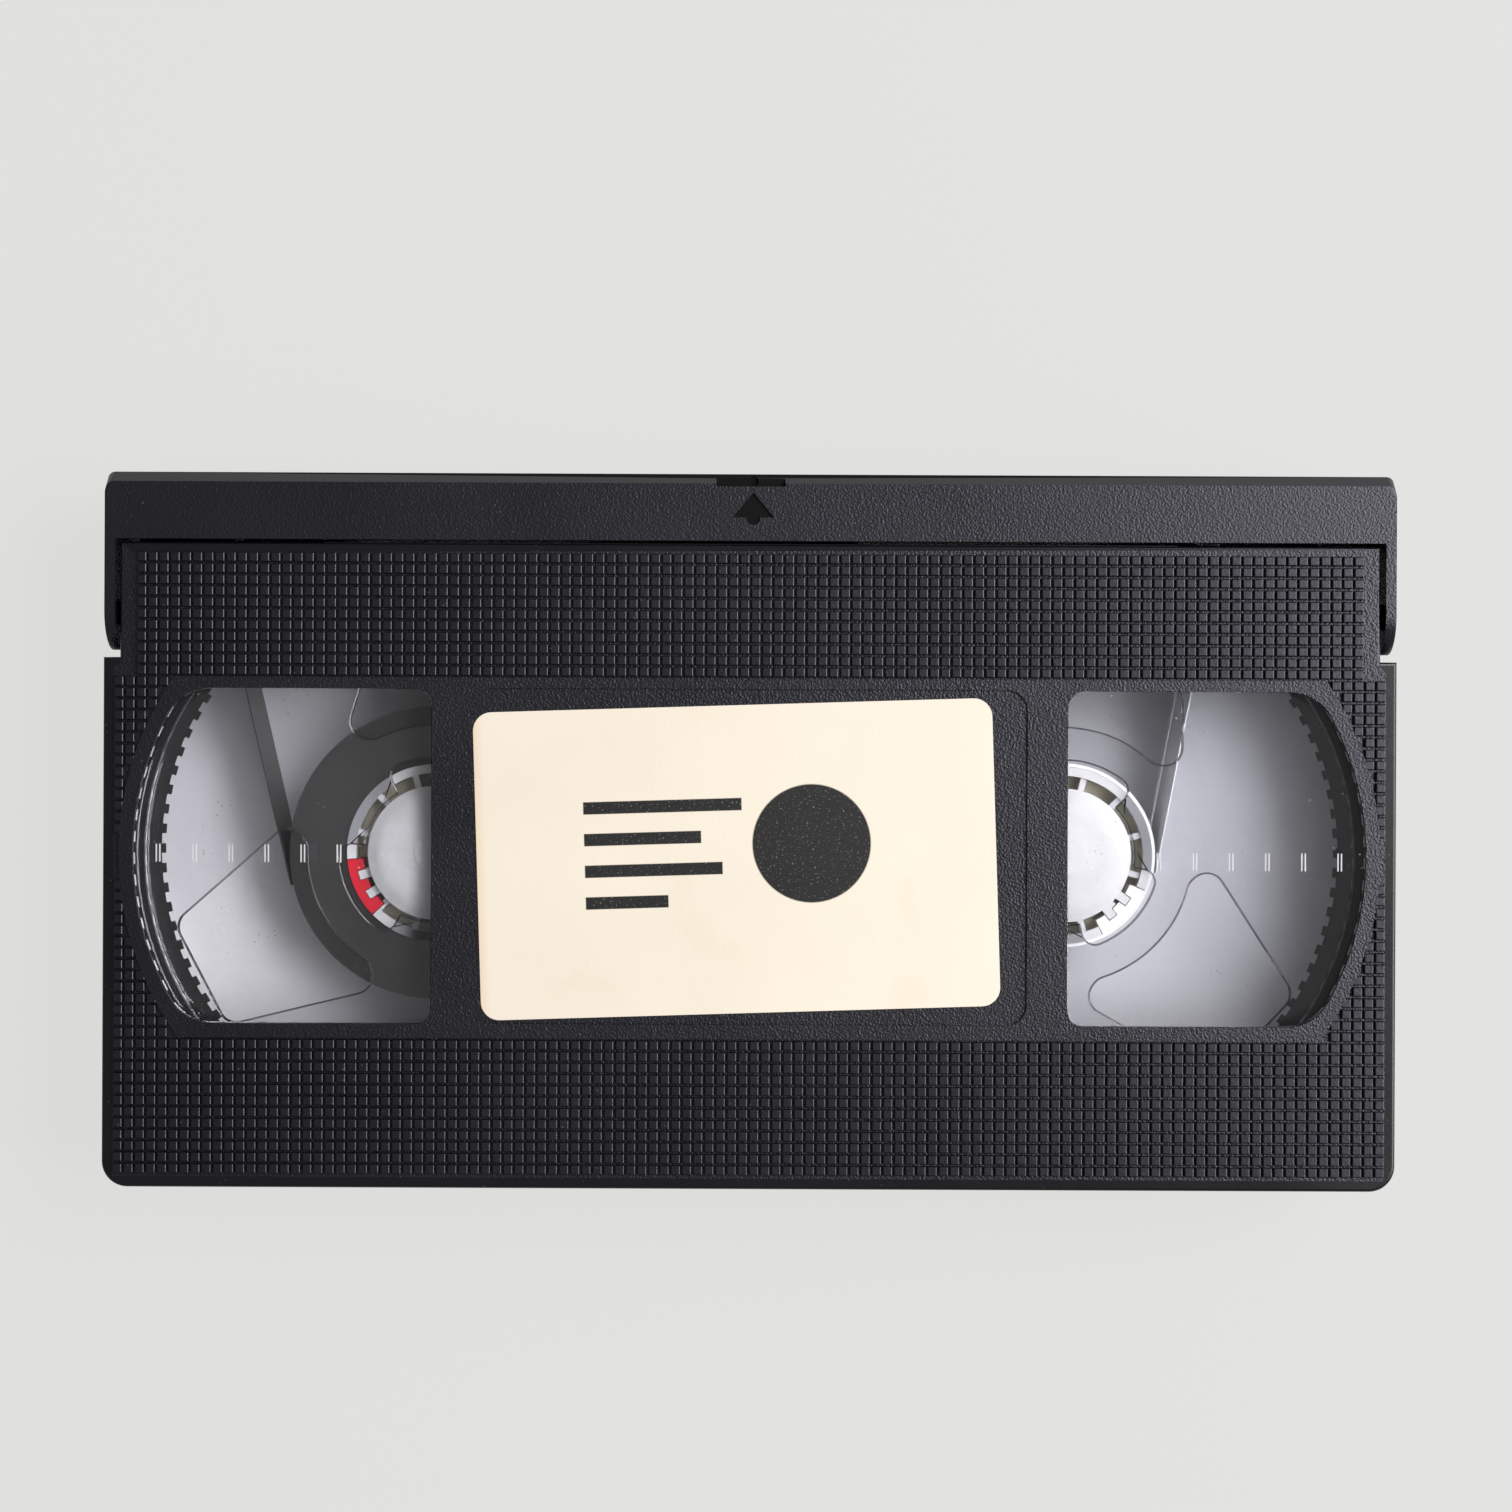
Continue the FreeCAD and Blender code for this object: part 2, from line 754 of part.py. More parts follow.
def island_outline():
    """The smooth field round the label and the windows."""
    def outer(y):
        rise = y - place.reel_y
        return place.reel_x + root(size.island_radius * size.island_radius - rise * rise)
    rear = -size.island_rear
    front = size.island_front
    corners = [(-outer(rear), rear), (outer(rear), rear), (outer(front), front), (-outer(front), front)]
    arcs = {1: ((place.reel_x, place.reel_y), size.island_radius),
            3: ((-place.reel_x, place.reel_y), size.island_radius)}
    return corners, arcs


def add_grip_rows(body, name, half, front, rear, count):
    """Raised rows, evenly spaced over a stretch of the top."""
    pitch = (front - rear + size.grip_gap) / count
    row = raise_block(body, name, box_corners((-half, front - pitch + size.grip_gap), (half, front)),
                      place.grip_floor - size.grip_depth, size.grip_depth * 2)
    return repeat_row(body, row, name + "_all", count, pitch * (count - 1))


def make_upper_shell():
    body = new_body("upper_shell")
    seam = size.lower_shell_height
    depth = place.roof - seam
    shell = raise_block(body, "cover", shell_outline(place.shell_front), seam, place.ledge_top - seam)
    rounded = soften(body, shell, "Fillet", "spine_corners", size.corner_radius, upright_at(rear_corners()))
    soften(body, rounded, "Fillet", "top_edge", size.ledge_round, at_level(place.ledge_top))
    field = shell_outline(place.shell_front - size.ledge_width, size.ledge_width)
    raise_block(body, "field", field, seam, place.grip_floor - seam)
    cut_block(body, "inside", shell_outline(place.shell_front + 1, size.side_wall), seam, depth)
    add_pocket_walls(body, "pocket_walls", seam, depth + size.top_wall / 2, place.shell_front)
    cut_pockets(body, "pockets", seam, depth, place.shell_front + 1)
    lip = size.pocket_inner - size.pocket_wall / 2
    raise_block(body, "middle_wall",
                box_corners((-lip, place.shell_front - size.pocket_wall), (lip, place.shell_front)),
                seam, depth + size.top_wall / 2)
    wide = place.half_width - size.ledge_width
    neck = place.neck_half - size.ledge_width
    front = place.shell_front - size.ledge_width
    step = place.step_y - size.ledge_width
    rear = size.ledge_width - place.half_depth
    add_grip_rows(body, "front_grip", neck, front, step + size.grip_gap, size.front_rows)
    add_grip_rows(body, "rear_grip", wide, step, rear, size.rear_rows)
    corners, arcs = island_outline()
    raise_block(body, "island", corners, place.roof + size.top_wall / 3, size.top_wall * 2 / 3, arcs)
    for side, name in ((-1, "left"), (1, "right")):
        corners, arcs = window_outline(side, as_size(0))
        opening = cut_block(body, f"{name}_window", corners, None, None, arcs)
        inner = soften(body, opening, "Fillet", f"{name}_window_inner", size.window_inner_round,
                       upright_at([corners[0], corners[3]]))
        soften(body, inner, "Fillet", f"{name}_window_outer", size.window_outer_round,
               upright_at([corners[1], corners[2]]))
    label = box_corners((-size.label_recess_half, -size.label_recess_rear),
                        (size.label_recess_half, size.label_recess_front))
    recess = cut_block(body, "label_recess", label, place.label_floor, size.label_recess_depth + 1)
    soften(body, recess, "Fillet", "label_recess_corners", size.label_recess_round, upright_at(label))
    raise_discs(body, "screw_bosses", screw_spots, size.screw_boss_radius, seam, depth + size.top_wall / 2)
    bore_holes(body, "screw_holes", screw_spots, size.screw_thread_radius + size.roller_clearance,
               seam, size.screw_well_depth + size.screw_length + size.screw_tip_room - seam)
    hinge = sketch_on(body, "hinge_outline", "YZ_Plane", level=place.neck_inner - size.side_wall)
    draw_circle(hinge, place.hinge_y, place.hinge_z, size.hinge_pin_radius + size.hinge_clearance)
    right_hole = pocket(body, hinge, "hinge_hole", size.side_wall * 3, upwards=True)
    mirror(body, [right_hole], "hinge_holes")
    cut_spine(body, "spine_field", seam, place.case_top - size.spine_recess_low)
    return body


def make_window(side, name):
    body = new_body(name)
    corners, arcs = window_outline(side, size.window_flange)
    raise_block(body, "rim", corners, place.roof - size.window_flange_thickness, size.window_flange_thickness,
                arcs)
    corners, arcs = window_outline(side, -size.window_gap)
    pane = raise_block(body, "pane", corners, place.roof, place.window_top - place.roof, arcs)
    inner = soften(body, pane, "Fillet", "inner_corners", size.window_inner_round - size.window_gap,
                   upright_at([corners[0], corners[3]]))
    soften(body, inner, "Fillet", "outer_corners", size.window_outer_round - size.window_gap,
           upright_at([corners[1], corners[2]]))
    return body


def make_label():
    body = new_body("face_label")
    half_length = size.label_length / 2
    half_width = size.label_width / 2
    corners = box_corners((-half_length, -half_width), (half_length, half_width))
    sheet_pad = raise_block(body, "sticker", corners, None, size.label_thickness)
    soften(body, sheet_pad, "Fillet", "sticker_corners", size.label_round, upright_at(corners))
    place_body(body, size.label_shift_x, size.label_shift_y, place.label_floor)
    body.Placement.Rotation = FreeCAD.Rotation(FreeCAD.Vector(0, 0, 1), 0)
    bind(body, "Placement.Rotation.Angle", size.label_turn)
    return body


def sector(inner, outer, middle, half):
    """Corners of a ring sector and the radii of its two arcs."""
    angles = (middle - half, middle + half)
    corners = [(cosine(angles[0]) * inner, sine(angles[0]) * inner),
               (cosine(angles[0]) * outer, sine(angles[0]) * outer),
               (cosine(angles[1]) * outer, sine(angles[1]) * outer),
               (cosine(angles[1]) * inner, sine(angles[1]) * inner)]
    return corners, {1: ((0, 0), outer), 3: ((0, 0), inner)}


def spoke(angle, half_width, inner, outer):
    """Corners of a bar that points outwards from the axis."""
    along = (cosine(angle), sine(angle))

    def corner(reach, side):
        return (along[0] * reach - along[1] * side, along[1] * reach + along[0] * side)
    return [corner(inner, -half_width), corner(outer, -half_width), corner(outer, half_width),
            corner(inner, half_width)]


def clamp_tooth_turns():
    return (-size.clamp_tooth_turn, size.clamp_tooth_turn)


def make_hub(name, side, clamp_angle):
    """A reel's hub and lower flange: drive socket, domed top, ribbed groove and toothed rim."""
    body = new_body(name)
    tube_outer = size.dome_radius
    groove_outer = size.hub_radius - size.hub_wall
    groove_floor = place.hub_top - size.groove_depth
    skirt_bottom = place.flange_bottom - size.skirt_drop
    socket_top = groove_floor - size.web_thickness
    dome_base = place.top_flange_top
    dome_top = dome_base + size.dome_rise
    lead_top = skirt_bottom + size.drive_lead_in
    socket_radius = size.drive_bore_radius - size.drive_step
    profile = [(size.drive_bore_radius, skirt_bottom),
               (size.skirt_radius, skirt_bottom),
               (size.skirt_radius, place.flange_bottom),
               (size.flange_radius, place.flange_bottom),
               (size.flange_radius, place.flange_top),
               (size.hub_radius, place.flange_top),
               (size.hub_radius, place.hub_top),
               (groove_outer, place.hub_top),
               (groove_outer, groove_floor),
               (tube_outer, groove_floor),
               (tube_outer, dome_base),
               (size.dome_shoulder_radius, dome_base + size.dome_shoulder_rise),
               (size.button_radius, dome_top),
               (size.button_radius, dome_top + size.button_rise),
               (as_size(0), dome_top + size.button_rise),
               (as_size(0), socket_top),
               (socket_radius, socket_top),
               (socket_radius, lead_top),
               (size.drive_bore_radius, lead_top)]
    revolve(body, "turned_form", profile)
    notch = sketch_on(body, "tooth_gap_outline", level=place.flange_bottom - 1)
    gap_half = (math.pi * size.flange_radius * 2 / size.tooth_count - size.tooth_land) / 2
    root_radius = size.flange_radius - size.tooth_depth
    outside = size.flange_radius + 1
    draw(notch, box_corners((root_radius, -gap_half), (outside, gap_half)))
    gap = pocket(body, notch, "tooth_gap", size.flange_thickness + 2, upwards=True)
    repeat_round(body, gap, "toothed_rim", size.tooth_count)
    weld = size.weld_depth
    rib = raise_block(body, "rib", spoke(size.hub_rib_turn, size.hub_rib_width / 2, tube_outer - weld,
                                         groove_outer + weld),
                      groove_floor, size.groove_depth - size.tape_edge_gap)
    repeat_round(body, rib, "ribs", size.hub_rib_count)
    key = raise_block(body, "spline", spoke(as_size(0), size.spline_width / 2,
                                            size.drive_bore_radius - size.spline_depth, socket_radius + weld),
                      lead_top, socket_top - lead_top)
    repeat_round(body, key, "splines", size.spline_count)
    corners, arcs = sector(size.hub_radius - size.clamp_depth, size.hub_radius + weld,
                           clamp_angle, size.clamp_half_angle + size.clamp_seat_turn)
    cut_block(body, "clamp_seat", corners, place.flange_top, place.hub_top - place.flange_top, arcs)
    tooth_end = size.hub_radius - size.clamp_depth + size.clamp_tooth_reach
    for number, turn in enumerate(clamp_tooth_turns(), start=1):
        raise_block(body, f"clamp_tooth_{number}",
                    spoke(clamp_angle + turn, size.clamp_tooth_width / 2, tube_outer - weld, tooth_end),
                    place.flange_top, place.hub_top - place.flange_top)
    place_body(body, place.reel_x * side, place.reel_y)
    return body


def make_clamp(name, side, clamp_angle):
    """The curved clip that grips the end of the tape in the hub, with notches over the hub's teeth."""
    body = new_body(name)
    corners, arcs = sector(size.hub_radius - size.clamp_depth + size.clamp_gap, size.hub_radius,
                           clamp_angle, size.clamp_half_angle)
    bottom = place.flange_top + size.clamp_gap
    height = place.hub_top - place.flange_top - size.clamp_gap * 2
    raise_block(body, "clip", corners, bottom, height, arcs)
    notch_end = size.hub_radius - size.clamp_depth + size.clamp_tooth_reach + size.clamp_gap
    for number, turn in enumerate(clamp_tooth_turns(), start=1):
        cut_block(body, f"notch_{number}",
                  spoke(clamp_angle + turn, size.clamp_tooth_width / 2 + size.clamp_gap,
                        size.dome_radius, notch_end),
                  bottom, height)
    place_body(body, place.reel_x * side, place.reel_y)
    return body


def make_top_flange(name, side, turn):
    """A clear disc with three large openings, and three small ones over the hub."""
    body = new_body(name)
    bore = size.dome_radius + size.flange_bore_gap
    rim = size.flange_radius - size.top_flange_inset
    revolve(body, "disc", [(bore, place.hub_top), (rim, place.hub_top),
                           (rim, place.top_flange_top), (bore, place.top_flange_top)])
    half = [(size.flange_window_arc, size.flange_window_inner),
            (size.flange_window_wide, size.flange_window_corner),
            (size.flange_window_narrow, size.flange_window_outer)]
    places = [(turn - angle, reach) for angle, reach in half]
    places += [(turn + angle, reach) for angle, reach in reversed(half)]
    corners = [(cosine(angle) * reach, sine(angle) * reach) for angle, reach in places]
    window = cut_block(body, "window", corners, place.hub_top - 1, size.top_flange_thickness + 2,
                       {5: ((0, 0), size.flange_window_inner)})
    windows = repeat_round(body, window, "windows", as_size(3))
    soften(body, windows, "Fillet", "window_corners", size.flange_window_round,
           upright_between(size.crescent_outer, rim))
    corners, arcs = sector(bore - 1, size.crescent_outer, turn, size.crescent_angle)
    crescent = cut_block(body, "crescent", corners, place.hub_top - 1, size.top_flange_thickness + 2, arcs)
    crescents = repeat_round(body, crescent, "crescents", as_size(3))
    soften(body, crescents, "Fillet", "crescent_corners", size.crescent_round,
           upright_between(bore, size.flange_window_inner))
    place_body(body, place.reel_x * side, place.reel_y)
    return body


def make_winding(name, side, outer):
    """The turns of tape on a hub, as one solid ring."""
    body = new_body(name)
    inner = size.hub_radius + size.roller_clearance
    revolve(body, "ring", [(inner, place.tape_bottom), (outer, place.tape_bottom),
                           (outer, place.tape_top), (inner, place.tape_top)])
    place_body(body, place.reel_x * side, place.reel_y)
    return body


def make_roller():
    body = new_body("supply_roller")
    bore = size.roller_pin_radius + size.roller_clearance
    bottom = place.guide_boss_top + size.seat_gap
    top = place.tape_top + size.tape_edge_gap
    revolve(body, "sleeve", [(bore, bottom), (size.roller_radius, bottom),
                             (size.roller_radius, top), (bore, top)])
    place_body(body, place.roller_x, place.roller_y)
    return body


def make_pin(name, x, y, radius):
    """A plain pin that stands in its socket in the floor."""
    body = new_body(name)
    bottom = place.guide_socket_bottom
    top = place.hub_top + size.top_flange_thickness
    chamfer = size.roller_clearance * 6
    revolve(body, "pin", [(as_size(0), bottom), (radius, bottom), (radius, top - chamfer),
                          (radius - chamfer, top), (as_size(0), top)])
    place_body(body, x, y)
    return body


def make_lid():
    """The hinged front lid: top and front walls, two arms and their pins."""
    body = new_body("front_lid")
    top = place.case_top
    arm_radius = size.hinge_drop
    profile = sketch_on(body, "side_outline", "YZ_Plane")
    corners = [(place.half_depth, size.lid_bottom_gap),
               (place.half_depth, top - size.lid_chamfer),
               (place.half_depth - size.lid_chamfer, top),
               (place.hinge_y, top),
               (place.hinge_y - arm_radius, place.hinge_z),
               (place.hinge_y, place.hinge_z - arm_radius),
               (place.lid_rear, size.lid_arm_low),
               (place.lid_rear, size.lid_bottom_gap)]
    centre = (place.hinge_y, place.hinge_z)
    draw(profile, corners, {3: (centre, arm_radius), 4: (centre, arm_radius)})
    blank = pad(body, profile, "blank", place.lid_half_width * 2, both_ways=True)
    soften(body, blank, "Fillet", "front_corners", size.lid_corner_round,
           at_front_corner(place.lid_half_width, place.half_depth - size.lid_chamfer))
    inside = sketch_on(body, "inside_outline", "YZ_Plane")
    draw(inside, [(place.lid_inner_front, as_size(-1)),
                  (place.lid_inner_front, top - size.lid_wall),
                  (place.lid_rear, top - size.lid_wall),
                  (place.lid_rear, top + 1),
                  (place.step_y, top + 1),
                  (place.step_y, as_size(-1))])
    pocket(body, inside, "hollow", place.lid_inner_half * 2, both_ways=True)
    cut_block(body, "middle_notch",
              box_corners((-size.lid_notch_width / 2, place.half_depth - size.lid_notch_depth),
                          (size.lid_notch_width / 2, place.half_depth + 1)),
              top - size.lid_notch_drop, size.lid_notch_drop + 1)
    pin = sketch_on(body, "pin_outline", "YZ_Plane", level=place.lid_inner_half - size.hinge_pin_reach)
    draw_circle(pin, place.hinge_y, place.hinge_z, size.hinge_pin_radius)
    right_pin = pad(body, pin, "hinge_pin", size.hinge_pin_reach + size.lid_wall / 2)
    mirror(body, [right_pin], "hinge_pins")
    lug_front = lock_spot[1] + size.lock_length - size.lock_wall_gap / 4
    raise_block(body, "lock_lug",
                box_corners((place.lid_inner_half - size.lug_reach, lug_front - size.lug_length),
                            (place.lid_inner_half + size.lid_wall / 2, lug_front)),
                size.floor_thickness + size.lock_height, size.lug_height)
    return body


def make_lock():
    """The lever that holds the lid shut, on its pin inside the right wall."""
    body = new_body("lid_lock")
    bottom = size.floor_thickness + size.seat_gap
    hub = size.lock_pin_radius + size.brake_clearance + size.lock_hub_wall
    half = size.lock_width / 2
    nose = place.lid_inner_half - size.lug_reach - size.seat_gap - lock_spot[0]
    raise_discs(body, "hub", [(as_size(0), as_size(0))], hub, bottom, size.lock_height * 2 - 1)
    corners = [(-half, as_size(0)), (half, as_size(0)), (half, size.lock_length - size.lock_nose_length),
               (nose, size.lock_length - size.lock_nose_length),
               (nose - size.lock_nose_slant, size.lock_length),
               (-half, size.lock_length)]
    raise_block(body, "lever", corners, size.floor_thickness + size.lock_height + size.lug_height
                + size.seat_gap, size.lock_height / 2)
    bore_holes(body, "bore", [(as_size(0), as_size(0))], size.lock_pin_radius + size.brake_clearance)
    place_body(body, lock_spot[0], lock_spot[1])
    return body


def make_brake(name, side):
    """A pawl on its pin, one arm to the reel's teeth and one to the release plate."""
    body = new_body(name)
    bottom = place.brake_bottom
    half = size.brake_arm_width / 2
    hub = size.brake_pin_radius + size.brake_clearance + size.brake_hub_wall
    raise_discs(body, "hub", [(as_size(0), as_size(0))], hub, bottom, size.brake_thickness)
    tip = (place.brake_tip_x - place.brake_pivot_x, place.brake_tip_y - place.brake_pivot_y)
    hook = tip[0] - size.brake_hook_width
    arm = [(-size.brake_root_half * side, as_size(0)), (size.brake_root_half * side, as_size(0)),
           (tip[0] * side, tip[1]), (hook * side, tip[1] - size.seat_gap),
           (hook * side, tip[1] - size.brake_hook_length)]
    raise_block(body, "pawl", arm, bottom, size.brake_thickness)
    end = (size.brake_inner_end - place.brake_pivot_x) * side
    raise_block(body, "inner_arm",
                [(as_size(0), half - size.brake_end_setback), (as_size(0), -half - size.brake_end_setback / 2),
                 (end, -half - size.brake_end_setback), (end, half - size.brake_end_setback)],
                bottom, size.brake_thickness)
    bore_holes(body, "bore", [(as_size(0), as_size(0))], size.brake_pin_radius + size.brake_clearance)
    place_body(body, place.brake_pivot_x * side, place.brake_pivot_y)
    return body


def make_release():
    """The plate that the machine's pin draws towards the spine to free both brakes."""
    body = new_body("brake_release")
    rear = place.brake_pivot_y + size.brake_arm_width / 2 - size.brake_end_setback + size.seat_gap
    half = size.release_plate_width / 2
    bottom = place.brake_bottom
    raise_block(body, "plate", box_corners((-half, rear), (half, rear + size.release_plate_length)),
                bottom, size.brake_thickness)
    bore_holes(body, "pin_hole", [(as_size(0), place.release_y)], size.release_hole_radius)
    return body


def make_leaf_spring():
    """A bowed strip under the top wall whose tips stand over the reels' buttons."""
    body = new_body("reel_leaf_spring")
    top = place.roof
    tip_x = place.reel_x - size.button_radius + size.leaf_overlap
    tip_top = place.top_flange_top + size.dome_rise + size.button_rise + size.leaf_gap + size.leaf_thickness
    flat_half = size.leaf_flat_half
    thickness = size.leaf_thickness
    profile = sketch_on(body, "side_outline", "XZ_Plane")
    upper = [(-tip_x, tip_top), (-flat_half, top), (flat_half, top), (tip_x, tip_top)]
    lower = [(x, as_size(z) - thickness) for x, z in reversed(upper)]
    draw(profile, lower + upper)
    pad(body, profile, "strip", size.leaf_width, both_ways=True)
    place_body(body, y=place.reel_y)
    return body


def make_screw_form():
    """One screw, at the origin of its seat."""
    body = new_body("screw_form")
    radius = size.screw_thread_radius
    head = size.screw_head_radius
    tip = size.screw_length
    revolve(body, "turned_form", [(as_size(0), -size.screw_head_height),
                                  (head, -size.screw_head_height), (head, as_size(0)),
                                  (radius, as_size(0)), (radius, tip - radius), (as_size(0), tip)])
    return body


def number(value):
    return as_size(value).number


def vector(x, y, z):
    return FreeCAD.Vector(number(x), number(y), number(z))


def make_screws(form):
    """The five screws, each its own solid, in one group."""
    group = document.addObject("Part::Feature", "case_screws")
    group.Label = "case_screws"
    seat = size.screw_well_depth
    screws = []
    for x, y in screw_spots:
        screw = form.Shape.copy()
        screw.translate(vector(x, y, seat))
        screws.append(screw)
    group.Shape = Part.makeCompound(screws)
    group.Placement = FreeCAD.Placement()
    return group


def wire_rings(points, radius, sides):
    """A many-sided ring round each point of a bent wire, square to its run."""
    rings = []
    normal = FreeCAD.Vector(1, 0, 0)
    for index, point in enumerate(points):
        along = points[min(index + 1, len(points) - 1)] - points[max(index - 1, 0)]
        along.normalize()
        normal = normal - along * normal.dot(along)
        normal.normalize()
        side = along.cross(normal)
        turns = [2 * math.pi * step / sides for step in range(sides)]
        rings.append([point + (normal * math.cos(turn) + side * math.sin(turn)) * radius for turn in turns])
    return rings


def wire_solid(points, radius, sides=6):
    """A bent wire as one solid with flat facets."""
    rings = wire_rings(points, radius, sides)
    faces = [Part.Face(Part.makePolygon(ring + ring[:1])) for ring in (rings[0], rings[-1])]
    for low, high in zip(rings, rings[1:]):
        for step in range(sides):
            following = (step + 1) % sides
            halves = ((low[step], low[following], high[following]), (low[step], high[following], high[step]))
            for corners in halves:
                faces.append(Part.Face(Part.makePolygon(list(corners) + [corners[0]])))
    return Part.makeSolid(Part.makeShell(faces))


def make_lid_spring():
    """A coil round the left hinge pin, one leg under the lid's top and one on the floor."""
    spring = document.addObject("Part::Feature", "lid_spring")
    spring.Label = "lid_spring"
    wire = number(size.lid_spring_wire)
    radius = number(size.hinge_pin_radius + size.lid_spring_gap) + wire / 2
    turns = number(size.lid_spring_turns)
    start = -number(place.neck_inner) + wire
    centre_y = number(place.hinge_y)
    centre_z = number(place.hinge_z)
    steps = int(12 * turns) + 3
    coil = []
    for step in range(steps + 1):
        angle = math.radians(30 * step)
        x = start + wire * 1.15 * step / 12
        coil.append(FreeCAD.Vector(x, centre_y + radius * math.cos(angle), centre_z - radius * math.sin(angle)))
    leg = number(size.lid_top_depth)
    first = coil[0] + FreeCAD.Vector(0, 0, -leg / 2)
    last = coil[-1] + FreeCAD.Vector(0, leg / 2, 0)
    spring.Shape = wire_solid([first] + coil + [last], wire / 2)
    spring.Placement = FreeCAD.Placement()
    return spring


def belt_tangent(first, second):
    """Where a band over the left of two circles leaves the first and meets the second."""
    (x1, y1, r1), (x2, y2, r2) = first, second
    across = math.hypot(x2 - x1, y2 - y1)
    heading = math.atan2(y2 - y1, x2 - x1) - math.asin((r2 - r1) / across) * -1
    side = FreeCAD.Vector(-math.sin(heading), math.cos(heading), 0)
    return FreeCAD.Vector(x1, y1, 0) + side * r1, FreeCAD.Vector(x2, y2, 0) + side * r2


def turn_arc(centre, start, end):
    """The arc on a guide between the points where the band meets and leaves it."""
    middle = FreeCAD.Vector(centre[0], centre[1], 0)
    bulge = (start - middle) + (end - middle)
    bulge.normalize()
    return Part.Arc(start, middle + bulge * centre[2], end).toShape()


def band_edges(guides, start_cut=None, end_cut=None):
    """The line of the tape round its guides, from the first to the last."""
    runs = [belt_tangent(guides[index], guides[index + 1]) for index in range(len(guides) - 1)]
    edges = []
    for index, (start, end) in enumerate(runs):
        if index:
            edges.append(turn_arc(guides[index], runs[index - 1][1], start))
        if start_cut is not None and index == 0:
            start = start_cut(start, end)
        if end_cut is not None and index == len(runs) - 1:
            end = end_cut(start, end)
        edges.append(Part.makeLine(start, end))
    return edges


def make_band(name, guides, splice, first_is_cut):
    """A standing ribbon of tape that follows the guides and ends at the splice."""
    band = document.addObject("Part::Feature", name)
    band.Label = name

    def at_splice(start, end):
        share = (splice - start.x) / (end.x - start.x)
        return start + (end - start) * share

    def line(growth):
        grown = [(x, y, r + growth) for x, y, r in guides]
        if first_is_cut:
            return band_edges(grown, start_cut=at_splice)
        return band_edges(grown, end_cut=at_splice)

    inner = line(0)
    outer = line(number(size.tape_thickness))

    def first_point(edges):
        return edges[0].Vertexes[0].Point

    def last_point(edges):
        return edges[-1].Vertexes[-1].Point
    closing = [Part.makeLine(first_point(inner), first_point(outer)),
               Part.makeLine(last_point(inner), last_point(outer))]
    outline = Part.Wire(Part.__sortEdges__(inner + outer + closing))
    ribbon = Part.Face(outline).extrude(FreeCAD.Vector(0, 0, number(size.tape_width)))
    band.Shape = ribbon
    band.Placement = FreeCAD.Placement(vector(0, 0, place.tape_bottom), FreeCAD.Rotation())
    return band


def guide(x, y, radius):
    return (number(x), number(y), number(radius + size.tape_seat_gap))


def make_bands():
    supply_post = guide(place.supply_post_x, place.post_y, size.post_radius)
    takeup_post = guide(place.takeup_post_x, place.post_y, size.post_radius)
    roller = guide(place.roller_x, place.roller_y, size.roller_radius)
    pack = guide(-place.reel_x, place.reel_y, size.pack_radius)
    leader = guide(place.reel_x, place.reel_y, size.leader_radius)
    splice = number(size.splice_place)
    tape = make_band("tape_run", [pack, roller, supply_post, takeup_post], splice, False)
    lead = make_band("leader_run", [supply_post, takeup_post, leader], splice, True)
    return [tape, lead]


sub_parts = [
    make_lower_shell(),
    make_upper_shell(),
    make_window(-1, "window_left"),
    make_window(1, "window_right"),
    make_label(),
    make_hub("supply_hub", -1, size.supply_clamp_angle),
    make_clamp("supply_clamp", -1, size.supply_clamp_angle),
    make_top_flange("supply_top_flange", -1, size.supply_flange_angle),
    make_winding("supply_tape_pack", -1, size.pack_radius),
    make_hub("takeup_hub", 1, size.takeup_clamp_angle),
    make_clamp("takeup_clamp", 1, size.takeup_clamp_angle),
    make_top_flange("takeup_top_flange", 1, size.takeup_flange_angle),
    make_winding("takeup_leader_wrap", 1, size.leader_radius),
    make_roller(),
    make_pin("supply_roller_pin", place.roller_x, place.roller_y, size.roller_pin_radius),
    make_pin("supply_tape_post", place.supply_post_x, place.post_y, size.post_radius),
    make_pin("takeup_tape_post", place.takeup_post_x, place.post_y, size.post_radius),
    make_lid(),
    make_lock(),
    make_brake("brake_left", -1),
    make_brake("brake_right", 1),
    make_release(),
    make_leaf_spring(),
]
screw_form = make_screw_form()
document.recompute()
sub_parts.append(make_screws(screw_form))
sub_parts.append(make_lid_spring())
sub_parts.extend(make_bands())
document.recompute()

# Every object must have been built before anything is written
for item in document.Objects:
    if "Invalid" in item.State or "Error" in item.State:
        raise RuntimeError(f"{item.Label} was not built")
for part in sub_parts:
    if part.Shape.isNull() or not part.Shape.isValid():
        raise RuntimeError(f"{part.Label} has no valid shape")

os.makedirs("parts", exist_ok=True)
for part in sub_parts:
    part.Shape.exportStep(f"parts/{part.Label}.step")
print(len(sub_parts), "sub-parts written")
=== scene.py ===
# %% [markdown]
# # A video cassette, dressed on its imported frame
# The cassette lies flat with its label up. Every size is in metres, in the frame's own axes: X
# along the long side, Y towards the hinged lid, Z up. The solids come from the frame and stay
# where they are. This script gives them their finishes and adds the fine moulded detail that they
# leave out.

# %% Load the frame
import json
import math

